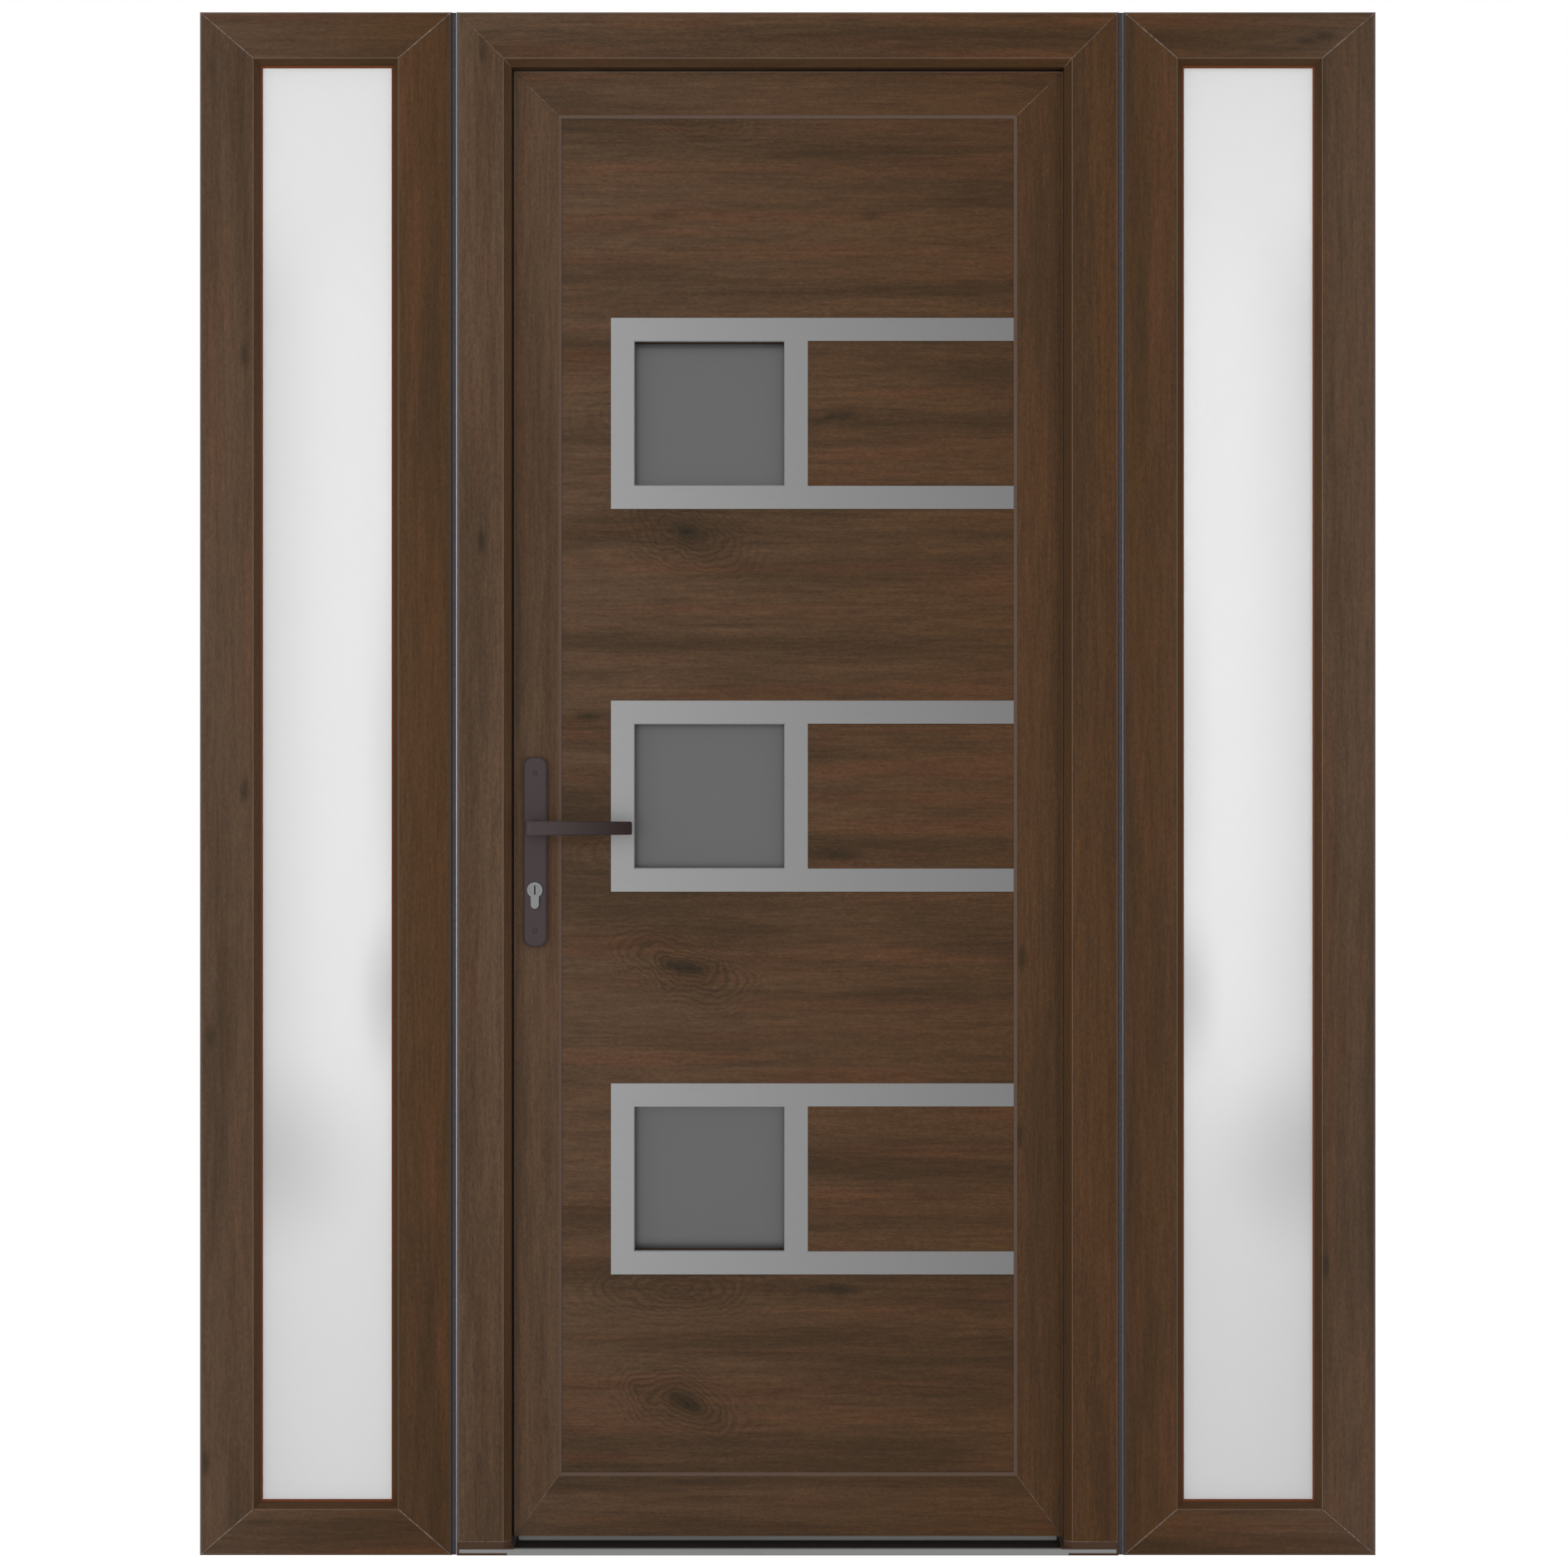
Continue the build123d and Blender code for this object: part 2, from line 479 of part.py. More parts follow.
# Drop seal under the leaf: aluminium channel with a rubber fin, drawn up as when the door swings
channel_x = visible_x - CHANNEL_END_GAP
channel_y = (LEAF_FRONT + 1, LEAF_FRONT + 1 + CHANNEL_WIDTH)
channel_low = LEAF_BOTTOM - CHANNEL_HEIGHT
carrier = block((-channel_x, channel_x), channel_y, (channel_low, LEAF_BOTTOM))
carrier -= block((-HALF_DOOR, HALF_DOOR), (channel_y[0] + CHANNEL_WALL, channel_y[1] - CHANNEL_WALL),
                 (channel_low - 1, LEAF_BOTTOM - CHANNEL_WALL))
nodes["bottom_seal_carrier"] = carrier
fin_y = (channel_y[0] + 2 * CHANNEL_WALL, channel_y[1] - 2 * CHANNEL_WALL)
nodes["bottom_seal"] = block((-channel_x, channel_x), fin_y,
                             (channel_low - FIN_BELOW_CHANNEL, LEAF_BOTTOM - CHANNEL_WALL))

# Lock: faceplate in the groove of the lock stile, with the latch and the hooks drawn back
faceplate = block((-LEAF_HALF, -LEAF_HALF + GROOVE_DEPTH), (groove_low, groove_high), FACEPLATE_ENDS)
for bolt_z, bolt_half, proud in ((LATCH_Z, LATCH_HALF, LATCH_PROUD),
                                 *((hook_z, HOOK_HALF, HOOK_PROUD) for hook_z in HOOK_HEIGHTS)):
    faceplate += block((-LEAF_HALF - proud, -LEAF_HALF),
                       (GROOVE_CENTRE - BOLT_WIDTH / 2, GROOVE_CENTRE + BOLT_WIDTH / 2),
                       (bolt_z - bolt_half, bolt_z + bolt_half))
nodes["lock_faceplate"] = faceplate

# Strike plates in the jamb's groove, each with a slot for its bolts
keeps = []
for keep_z, keep_half in STRIKES:
    keep_x = (-HALF_DOOR + FRAME_BODY - GROOVE_DEPTH, -HALF_DOOR + FRAME_BODY)
    keep = block(keep_x, (groove_low, groove_high), (keep_z - keep_half, keep_z + keep_half))
    slot_half = keep_half - STRIKE_RIM
    keep -= block((keep_x[0] + STRIKE_THICK, keep_x[1] + STRIKE_THICK),
                  (GROOVE_CENTRE - BOLT_WIDTH / 2, GROOVE_CENTRE + BOLT_WIDTH / 2),
                  (keep_z - slot_half, keep_z + slot_half))
    keeps.append(keep)
nodes["strike_plates"] = Compound(keeps)


# Lock cylinder through the stile and both backplates
def cylinder_outline(grow):
    """Front outline of the profile cylinder, grown by a margin: round plug over a narrow body."""
    half = CYLINDER_BODY / 2 + grow
    foot_z = CYLINDER_Z + CYLINDER_RADIUS - CYLINDER_HEIGHT + CYLINDER_BODY / 2
    plug = Pos(HANDLE_X, CYLINDER_Z) * Circle(CYLINDER_RADIUS + grow)
    web = Pos(HANDLE_X, (CYLINDER_Z + foot_z) / 2) * Rectangle(2 * half, CYLINDER_Z - foot_z)
    return plug + web + Pos(HANDLE_X, foot_z) * Circle(half)


outer_end = LEAF_FRONT - PLATE_THICK - CYLINDER_PROUD
inner_end = LEAF_BACK + PLATE_THICK + CYLINDER_PROUD
cylinder = along_y(cylinder_outline(0), outer_end, inner_end)
slot_z = (CYLINDER_Z - KEY_SLOT_HEIGHT / 2, CYLINDER_Z + KEY_SLOT_HEIGHT / 2)
for slot_y in ((outer_end - 1, outer_end + KEY_SLOT_DEPTH), (inner_end - KEY_SLOT_DEPTH, inner_end + 1)):
    cylinder -= block((HANDLE_X - KEY_SLOT_WIDTH / 2, HANDLE_X + KEY_SLOT_WIDTH / 2), slot_y, slot_z)
nodes["lock_cylinder"] = cylinder

# Room for the cylinder and the spindle through the lock stile
spindle_hole = Pos(HANDLE_X, 0, LEVER_Z) * Rot(90, 0, 0) * Cylinder(SPINDLE_HOLE_RADIUS, 4 * REACH)
cylinder_hole = along_y(cylinder_outline(CYLINDER_PLAY), LEAF_FRONT - 1, LEAF_BACK + 1)
nodes["lock_stile"] = lock_stile - spindle_hole - cylinder_hole


# Backplates and levers, alike on both faces
def backplate(face_y, outward):
    """Long cast plate with rounded ends and a bevelled front edge, bored for lever and cylinder."""
    front = RectangleRounded(PLATE_WIDTH, PLATE_HEIGHT, PLATE_END_RADIUS)
    front = Pos(HANDLE_X, PLATE_CENTRE_Z) * front
    reach_y = sorted((face_y, face_y + outward * PLATE_THICK))
    plate = along_y(front, *reach_y)
    outer_face = plate.faces().sort_by(Axis.Y)[0 if outward < 0 else -1]
    plate = chamfer(outer_face.edges(), PLATE_CHAMFER)
    plate -= Pos(HANDLE_X, 0, LEVER_Z) * Rot(90, 0, 0) * Cylinder(NECK_RADIUS + NECK_PLAY, 6 * REACH)
    return plate - along_y(cylinder_outline(CYLINDER_PLAY / 2), reach_y[0] - 1, reach_y[1] + 1)


def lever(face_y, outward):
    """Round neck out of the plate that bends into a flat bar, which tapers towards its tip."""
    root_x = HANDLE_X - NECK_RADIUS
    tip_x = HANDLE_X + LEVER_LENGTH
    front_y = face_y + outward * (PLATE_THICK + LEVER_REACH)
    back_y = front_y - outward * LEVER_THICK
    seat_y = face_y + outward * NECK_SEAT
    plan = outline([(root_x, back_y), (root_x, front_y), (tip_x, front_y), (tip_x, back_y)],
                   ((1, LEVER_BEND), (2, LEVER_TIP_RADIUS)))
    bar = extrude(Plane.XY.offset(LEVER_Z - NECK_RADIUS) * plan, amount=2 * NECK_RADIUS)
    side = [(root_x - 1, LEVER_Z + LEVER_ROOT_HEIGHT / 2), (tip_x + 1, LEVER_Z + LEVER_TIP_HEIGHT / 2),
            (tip_x + 1, LEVER_Z - LEVER_TIP_HEIGHT / 2), (root_x - 1, LEVER_Z - LEVER_ROOT_HEIGHT / 2)]
    bar = mitred(bar, side)
    top_and_bottom = bar.faces().filter_by(lambda face: abs(face.normal_at().Z) > 0.9)
    long_edges = [edge for face in top_and_bottom for edge in face.edges()
                  if abs(edge.center().Y - back_y) > LEVER_THICK / 4]
    bar = chamfer(long_edges, LEVER_CHAMFER)
    neck = along_y(Pos(HANDLE_X, LEVER_Z) * Circle(NECK_RADIUS), *sorted((seat_y, back_y)))
    socket_y = sorted((seat_y, seat_y + outward * SPINDLE_DEPTH))
    return neck + bar - block((HANDLE_X - SPINDLE / 2, HANDLE_X + SPINDLE / 2), socket_y,
                              (LEVER_Z - SPINDLE / 2, LEVER_Z + SPINDLE / 2))


nodes["outer_backplate"] = backplate(LEAF_FRONT, -1)
nodes["inner_backplate"] = backplate(LEAF_BACK, 1)
nodes["outer_lever"] = lever(LEAF_FRONT, -1)
nodes["inner_lever"] = lever(LEAF_BACK, 1)
nodes["spindle"] = block(
    (HANDLE_X - SPINDLE / 2, HANDLE_X + SPINDLE / 2),
    (LEAF_FRONT - NECK_SEAT - SPINDLE_DEPTH, LEAF_BACK + NECK_SEAT + SPINDLE_DEPTH),
    (LEVER_Z - SPINDLE / 2, LEVER_Z + SPINDLE / 2))


# Hinges: frame part with two knuckles and the pin, leaf part with the middle knuckle
def knuckle(low, high):
    """A turned barrel with its two end rims chamfered."""
    barrel = rod(BARREL_RADIUS, (HINGE_X, HINGE_Y), low, high)
    rims = barrel.faces().filter_by(Axis.Z).edges()
    return chamfer(rims, KNUCKLE_CHAMFER)


def hinge_plate(x, y, z, outer_x):
    """A flat plate whose two corners away from the barrel are rounded."""
    plate = block(x, y, z)
    corners = [edge for edge in plate.edges().filter_by(Axis.Y) if abs(edge.center().X - outer_x) < 1]
    return fillet(corners, HINGE_CORNER)


frame_parts = []
leaf_parts = []
for hinge_z in HINGE_CENTRES:
    ends = (hinge_z - HINGE_LENGTH / 2, hinge_z + HINGE_LENGTH / 2)
    middle = (hinge_z - MIDDLE_KNUCKLE / 2, hinge_z + MIDDLE_KNUCKLE / 2)
    plate_x = (HINGE_X - HINGE_LEAN, HALF_DOOR - COUPLING_INSET)
    frame_part = hinge_plate(plate_x, (BACK, BACK + HINGE_PLATE), ends, plate_x[1])
    for low, high in ((ends[0], middle[0] - KNUCKLE_GAP), (middle[1] + KNUCKLE_GAP, ends[1])):
        arm = block((HINGE_X - HINGE_LEAN, HINGE_X + BARREL_RADIUS), (BACK, HINGE_Y),
                    (low + KNUCKLE_CHAMFER, high - KNUCKLE_CHAMFER))
        frame_part += knuckle(low, high) + arm
    frame_part += rod(PIN_RADIUS, (HINGE_X, HINGE_Y), *ends)
    frame_parts.append(frame_part)
    inner_x = LEAF_HALF - HINGE_PLATE_REACH
    arm_x = LEAF_HALF + HINGE_ARM_EDGE
    leaf_part = hinge_plate((inner_x, arm_x), (LEAF_BACK, LEAF_BACK + HINGE_PLATE), middle, inner_x)
    web = outline([(arm_x - BARREL_RADIUS, LEAF_BACK), (arm_x, LEAF_BACK),
                   (HINGE_X - PIN_RADIUS, HINGE_Y - PIN_RADIUS),
                   (HINGE_X, HINGE_Y + BARREL_RADIUS - 1),
                   (HINGE_X - BARREL_RADIUS + 1, HINGE_Y + PIN_RADIUS)])
    web_low = middle[0] + KNUCKLE_CHAMFER
    web_height = MIDDLE_KNUCKLE - 2 * KNUCKLE_CHAMFER
    leaf_part += Pos(0, 0, web_low) * extrude(Plane.XY * web, amount=web_height)
    leaf_part += knuckle(*middle)
    leaf_part -= rod(PIN_RADIUS + PIN_PLAY, (HINGE_X, HINGE_Y), middle[0] - 1, middle[1] + 1)
    leaf_parts.append(leaf_part)
nodes["hinge_frame_parts"] = Compound(frame_parts)
nodes["hinge_leaf_parts"] = Compound(leaf_parts)

for name, solid in nodes.items():
    export_step(solid, f"parts/{name}.step")
print(len(nodes), "nodes written")
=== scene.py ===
"""Looks of a brown foiled entrance door with two fixed sidelights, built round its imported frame."""
import math

import bmesh
import bpy
import numpy as np
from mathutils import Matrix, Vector


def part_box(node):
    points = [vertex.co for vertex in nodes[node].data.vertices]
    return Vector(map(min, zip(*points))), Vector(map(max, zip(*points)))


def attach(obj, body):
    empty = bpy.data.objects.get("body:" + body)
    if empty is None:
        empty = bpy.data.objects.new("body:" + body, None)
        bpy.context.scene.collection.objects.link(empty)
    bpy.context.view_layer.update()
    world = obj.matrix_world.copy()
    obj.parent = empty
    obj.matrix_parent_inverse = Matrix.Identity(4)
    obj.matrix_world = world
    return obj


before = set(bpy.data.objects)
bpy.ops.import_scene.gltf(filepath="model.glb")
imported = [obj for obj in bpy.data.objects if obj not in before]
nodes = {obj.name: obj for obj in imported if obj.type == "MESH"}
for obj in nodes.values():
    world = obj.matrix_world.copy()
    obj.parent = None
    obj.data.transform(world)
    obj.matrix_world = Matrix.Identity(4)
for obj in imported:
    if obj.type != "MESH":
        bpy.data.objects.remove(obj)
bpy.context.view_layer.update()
scene = bpy.context.scene
MM = 1000.0

# Camera: the photograph is a straight front view from mid-height, 3.7 m off the frame's face.
# Its frame is 1932 pixels wide, and one pixel is 1.1041 mm on that face.
PHOTO_PIXELS = 1932
MM_PER_PIXEL = 1.1041
EYE_DISTANCE = 3.7
EYE_X, EYE_Z = -0.0051, 1.0496
SENSOR = 36.0
eye = bpy.data.cameras.new("camera")
eye.sensor_width = SENSOR
eye.lens = SENSOR * EYE_DISTANCE * MM / (PHOTO_PIXELS * MM_PER_PIXEL)
camera = bpy.data.objects.new("camera", eye)
scene.collection.objects.link(camera)
front_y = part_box("head")[0].y
camera.location = (EYE_X, front_y - EYE_DISTANCE, EYE_Z)
camera.rotation_euler = (math.radians(90), 0, 0)
scene.camera = camera
scene.view_settings.view_transform = "Standard"

# Studio: a white painted floor and an even white surround, as in a catalogue picture.
# Big soft lamps stand at the left, in front, at the right and behind. The surround is fully white
# to the eye, in gloss and through glass, while surfaces get only a plain level of light from it.
SURROUND_LIGHT = 0.42
LAMP_WIDTH = 3.0
LAMPS = {"key_lamp": (46.0, (-3.4, -3.4, 1.2)), "front_lamp": (78.0, (-0.4, -5.6, 1.2)),
         "fill_lamp": (26.0, (3.2, -3.8, 0.9)), "back_lamp": (80.0, (1.0, 4.2, 1.6))}
FLOOR_HALF = 30.0
FLOOR_PAINT = "#F2F2F0"
FLOOR_WHITE_SHARE = 0.88
FLOOR_WHITE_LEVEL = 1.09


def linear(hex_colour):
    """sRGB hex to linear RGBA: each channel c becomes ((c + 0.055) / 1.055) to the power 2.4."""
    channels = [int(hex_colour[i:i + 2], 16) / 255 for i in (1, 3, 5)]
    curve = [c / 12.92 if c <= 0.04045 else ((c + 0.055) / 1.055) ** 2.4 for c in channels]
    return (*curve, 1.0)


def add(tree, kind, sockets=None, **settings):
    """Adds one node; sockets maps an input's name or number to a value or to another node's output."""
    made = tree.nodes.new("ShaderNode" + kind)
    for key, value in settings.items():
        setattr(made, key, value)
    for key, value in (sockets or {}).items():
        if isinstance(value, bpy.types.NodeSocket):
            tree.links.new(value, made.inputs[key])
        else:
            made.inputs[key].default_value = value
    return made


def finish(name):
    """A new, empty material and its node tree."""
    made = bpy.data.materials.new(name)
    made.use_nodes = True
    made.node_tree.nodes.clear()
    return made, made.node_tree


for lamp_name, (watts, place) in LAMPS.items():
    light = bpy.data.lights.new(lamp_name, "AREA")
    light.energy, light.size = watts, LAMP_WIDTH
    lamp = bpy.data.objects.new(lamp_name, light)
    scene.collection.objects.link(lamp)
    lamp.location = place
    towards = Vector((0, 0, EYE_Z)) - lamp.location
    lamp.rotation_euler = towards.to_track_quat("-Z", "Y").to_euler()
    lamp.visible_glossy = lamp_name in ("key_lamp", "fill_lamp")

world = bpy.data.worlds.new("studio")
scene.world = world
world.use_nodes = True
air = world.node_tree
air.nodes.clear()
ray = add(air, "LightPath")
seen = add(air, "Math", {0: ray.outputs["Is Camera Ray"], 1: ray.outputs["Is Glossy Ray"]},
           operation="MAXIMUM")
seen = add(air, "Math", {0: seen.outputs[0], 1: ray.outputs["Is Transmission Ray"]},
           operation="MAXIMUM")
level = add(air, "MapRange", {"Value": seen.outputs[0], "To Min": SURROUND_LIGHT, "To Max": 1.0})
glow = add(air, "Background", {"Color": (1, 1, 1, 1), "Strength": level.outputs["Result"]})
add(air, "OutputWorld", {"Surface": glow.outputs[0]})

floor_mesh = bpy.data.meshes.new("floor")
floor_mesh.from_pydata([(-FLOOR_HALF, -FLOOR_HALF, 0), (FLOOR_HALF, -FLOOR_HALF, 0),
                        (FLOOR_HALF, FLOOR_HALF, 0), (-FLOOR_HALF, FLOOR_HALF, 0)], [], [(0, 1, 2, 3)])
floor = bpy.data.objects.new("floor", floor_mesh)
scene.collection.objects.link(floor)
paint, tree = finish("matt white paint, rolled")
ray = add(tree, "LightPath")
seen = add(tree, "Math", {0: ray.outputs["Is Camera Ray"], 1: ray.outputs["Is Glossy Ray"]},
           operation="MAXIMUM")
seen = add(tree, "Math", {0: seen.outputs[0], 1: ray.outputs["Is Transmission Ray"]},
           operation="MAXIMUM")
share = add(tree, "Math", {0: seen.outputs[0], 1: FLOOR_WHITE_SHARE}, operation="MULTIPLY")
matt = add(tree, "BsdfDiffuse", {"Color": linear(FLOOR_PAINT)})
white = add(tree, "Emission", {"Color": (1, 1, 1, 1), "Strength": FLOOR_WHITE_LEVEL})
blend = add(tree, "MixShader", {0: share.outputs[0], 1: matt.outputs[0], 2: white.outputs[0]})
add(tree, "OutputMaterial", {"Surface": blend.outputs[0]})
floor_mesh.materials.append(paint)

# Door frame: two jambs and a head of extruded PVC, wrapped in a printed wood-grain foil and
# welded at the top mitres. The foil shows brown oak with olive bands, red streaks, small soft
# knots and fine pores; across the door a painted sheen turns it from grey-brown at the left to
# red-brown.
# Two ends of the foil's colour; the grey-brown end is a painted sheen.
SHEEN_TONES = {"door": ("#5C4736", "#50361F"), "sidelight": ("#5A4636", "#4F351D")}
OLIVE, RUST, KNOT = "#35291A", "#65402B", "#262015"
BARE_PVC_HIGHLIGHT, BEVEL_SHADE = "#5E5250", "#3A2306"
WALL_SHADES = {"door": "#432E1D", "sidelight": "#28190F"}
WELD_LINE, EDGE_HIGHLIGHT, SEAM_SHADE = "#84736A", "#8A7566", "#40352F"
DOOR_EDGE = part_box("right_jamb")[1].x
OUTER_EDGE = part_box("right_sidelight_outer_stile")[1].x
INNER_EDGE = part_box("right_sidelight_inner_stile")[0].x
FOIL_WRAP, WRAP_FADE, SEAM_WIDTH = 0.0035, 0.7, 0.007
BANDS_MM = ((50, 640, 3.0, 0.42, 0.66, 0.58, OLIVE), (26, 420, 41.0, 0.46, 0.70, 0.36, RUST),
            (11, 190, 67.0, 0.55, 0.75, 0.28, KNOT))
STREAKS_MM = ((6.0, 170, 23.0, 0.09), (2.8, 40, 11.0, 0.16), (1.8, 5.5, 5.0, 0.19))
UPRIGHT_BANDS = {"door": 0.65, "sidelight": 0.9}
SIDELIGHT_CALM = 0.85
SPOT_CELL_MM, SPOT_RARITY = (46.0, 125.0), (0.70, 0.76)
SPOT_RADII, SPOT_STRENGTH = (0.22, 0.02), 0.62
WANDER_SCALE, WANDER_MM = 0.021, (70.0, 0.0, 34.0)
KNOT_REACH, KNOT_PUSH = 3.6, 0.55
RING_RATE, RING_LINE, RING_REACH = 15.0, (-0.4, 1.0), (5.2, 1.2)
HEARTS, HEART_CORE = ((3.0, OLIVE, 0.6), (1.2, KNOT, 1.0)), 0.1
EDGE_SLOPES, EDGE_SHARE = (0.9995, 0.990), 0.45
BEVEL_SLOPES, BEVEL_SHARE = (0.92, 0.84), 0.50
WALL_SLOPES = (0.25, 0.10)
FRAME_FACE = 0.063
FRAME_BEVEL, BEVEL_DEPTH = 0.0105, 0.008
WELD_RADIUS = 0.00045


def wood_foil(name, along, unit, knots=(), repeat_mm=0.0):
    """Printed foil, matt with pressed pores. along is the grain's axis, "X" or "Z". Rounded edges
    get a painted highlight, bevels a painted shade, and side walls are painted dark as shade.

    The grain is noise in the object's own millimetres, stretched along the grain. Each band
    (width, length, shift, low, high, strength, colour) mixes its colour in where that noise rises
    from low to high, less on uprights. Each streak (width, length, shift, swing) darkens and
    lightens, less on the sidelights, whose print is calmer. A few cells of a Voronoi pattern
    carry a small dark spot. The slope |normal y| parts face, edge, bevel and wall. The foil ends
    on bare PVC at the door's left edge and the sidelights' outer edges, whose pale colour is also a
    painted highlight on the rounded edge, and a sidelight is shaded beside its seam with the door.
    unit "door" runs from grey-brown to red-brown with x, "sidelight" from its outer edge inwards, a
    painted sheen.
    Each knot (x, z, length, height, tilt, rings, heart) is a soft ellipse, repeated upwards every
    repeat_mm: the grain spreads round it, rings of a wider ellipse lie about it, and its heart is
    dark. The last two say how strong the rings and the heart are."""
    made, tree = finish(name)
    place = add(tree, "TexCoord")
    metres = add(tree, "SeparateXYZ", {0: place.outputs["Object"]})
    mm = add(tree, "VectorMath", {0: place.outputs["Object"], "Scale": MM}, operation="SCALE")
    axes = add(tree, "SeparateXYZ", {0: mm.outputs[0]})
    across, lengthwise = axes.outputs["X"], axes.outputs["Z"]
    if along == "X":
        across, lengthwise = lengthwise, across

    hearts = []
    if knots:
        first_z = knots[0][1]
        height = add(tree, "Math", {0: axes.outputs["Z"], 1: first_z + repeat_mm / 2,
                                    2: first_z - repeat_mm / 2}, operation="WRAP")
        wander = add(tree, "TexNoise", {"Vector": mm.outputs[0], "Scale": WANDER_SCALE,
                                        "Detail": 4.0})
        centred = add(tree, "VectorMath", {0: wander.outputs["Color"], 1: (0.5, 0.5, 0.5)},
                      operation="SUBTRACT")
        moved = add(tree, "VectorMath", {0: centred.outputs[0], 1: WANDER_MM}, operation="MULTIPLY")
        flat = add(tree, "CombineXYZ", {"X": axes.outputs["X"], "Z": height.outputs[0]})
        bent = add(tree, "VectorMath", {0: flat.outputs[0], 1: moved.outputs[0]}, operation="ADD")
        for x, z, length, tall, tilt, _, _ in knots:
            spot = add(tree, "Mapping", {"Vector": bent.outputs[0], "Location": (x, 0.0, z),
                                         "Rotation": (0.0, math.radians(tilt), 0.0),
                                         "Scale": (length, 1.0, tall)}, vector_type="TEXTURE")
            hearts.append(add(tree, "VectorMath", {0: spot.outputs[0]}, operation="LENGTH"))
            spread = add(tree, "MapRange", {"Value": hearts[-1].outputs["Value"],
                                            "From Min": KNOT_REACH, "From Max": 0.0,
                                            "To Max": KNOT_PUSH * tall},
                         interpolation_type="SMOOTHSTEP")
            side = add(tree, "Math", {0: height.outputs[0], 1: z}, operation="SUBTRACT")
            side = add(tree, "Math", {0: side.outputs[0], 1: 1.0 / tall}, operation="MULTIPLY")
            side = add(tree, "Math", {0: side.outputs[0]}, operation="TANH")
            push = add(tree, "Math", {0: spread.outputs[0], 1: side.outputs[0]}, operation="MULTIPLY")
            across = add(tree, "Math", {0: across, 1: push.outputs[0]}, operation="SUBTRACT").outputs[0]
    grain = add(tree, "CombineXYZ", {"X": across, "Y": axes.outputs["Y"], "Z": lengthwise})

    reach = add(tree, "Math", {0: metres.outputs["X"]}, operation="ABSOLUTE")
    if unit == "door":
        edge = DOOR_EDGE
        outward = add(tree, "Math", {0: metres.outputs["X"], 1: -1.0}, operation="MULTIPLY").outputs[0]
        tone = add(tree, "MapRange", {"Value": metres.outputs["X"], "From Min": -DOOR_EDGE,
                                      "From Max": DOOR_EDGE})
    else:
        edge, outward = OUTER_EDGE, reach.outputs[0]
        tone = add(tree, "MapRange", {"Value": reach.outputs[0], "From Min": OUTER_EDGE,
                                      "From Max": INNER_EDGE})
    # Painted sheen: grey-brown where the light's sheen falls, red-brown away from it.
    sheened_brown, unsheened_brown = (linear(shade) for shade in SHEEN_TONES[unit])
    colour = add(tree, "Mix", {0: tone.outputs[0], 6: sheened_brown, 7: unsheened_brown},
                 data_type="RGBA").outputs[2]
    banding = UPRIGHT_BANDS[unit] if along == "Z" else 1.0
    for width, length, shift, low, high, strength, tint in BANDS_MM:
        stretched = add(tree, "Mapping", {"Vector": grain.outputs[0], "Location": (shift, shift, shift),
                                          "Scale": (1 / width, 1 / width, 1 / length)})
        noise = add(tree, "TexNoise", {"Vector": stretched.outputs[0], "Scale": 1.0, "Detail": 4.0,
                                       "Roughness": 0.50, "Distortion": 0.2})
        share = add(tree, "MapRange", {"Value": noise.outputs["Fac"], "From Min": low,
                                       "From Max": high, "To Max": banding * strength},
                    interpolation_type="SMOOTHSTEP")
        colour = add(tree, "Mix", {0: share.outputs[0], 6: colour, 7: linear(tint)},
                     data_type="RGBA").outputs[2]

    cell = add(tree, "Mapping", {"Vector": grain.outputs[0],
                                 "Scale": (1 / SPOT_CELL_MM[0], 0.0, 1 / SPOT_CELL_MM[1])})
    spots = add(tree, "TexVoronoi", {"Vector": cell.outputs[0], "Scale": 1.0, "Randomness": 1.0})
    chosen = add(tree, "SeparateXYZ", {0: spots.outputs["Color"]})
    rare = add(tree, "MapRange", {"Value": chosen.outputs["X"], "From Min": SPOT_RARITY[0],
                                  "From Max": SPOT_RARITY[1]})
    spot = add(tree, "MapRange", {"Value": spots.outputs["Distance"], "From Min": SPOT_RADII[0],
                                  "From Max": SPOT_RADII[1], "To Max": SPOT_STRENGTH},
               interpolation_type="SMOOTHSTEP")
    share = add(tree, "Math", {0: spot.outputs[0], 1: rare.outputs[0]}, operation="MULTIPLY")
    colour = add(tree, "Mix", {0: share.outputs[0], 6: colour, 7: linear(KNOT)},
                 data_type="RGBA").outputs[2]

    for heart, (*_, rings, dark) in zip(hearts, knots):
        wave = add(tree, "Math", {0: heart.outputs["Value"], 1: RING_RATE}, operation="MULTIPLY")
        wave = add(tree, "Math", {0: wave.outputs[0]}, operation="SINE")
        line = add(tree, "MapRange", {"Value": wave.outputs[0], "From Min": RING_LINE[0],
                                      "From Max": RING_LINE[1], "To Max": rings},
                   interpolation_type="SMOOTHSTEP")
        near = add(tree, "MapRange", {"Value": heart.outputs["Value"], "From Min": RING_REACH[0],
                                      "From Max": RING_REACH[1]}, interpolation_type="SMOOTHSTEP")
        share = add(tree, "Math", {0: line.outputs[0], 1: near.outputs[0]}, operation="MULTIPLY")
        colour = add(tree, "Mix", {0: share.outputs[0], 6: colour, 7: linear(OLIVE)},
                     data_type="RGBA").outputs[2]
        for far, tint, strength in HEARTS:
            core = add(tree, "MapRange", {"Value": heart.outputs["Value"], "From Min": far,
                                          "From Max": HEART_CORE, "To Max": strength * dark},
                       interpolation_type="SMOOTHSTEP")
            colour = add(tree, "Mix", {0: core.outputs[0], 6: colour, 7: linear(tint)},
                         data_type="RGBA").outputs[2]

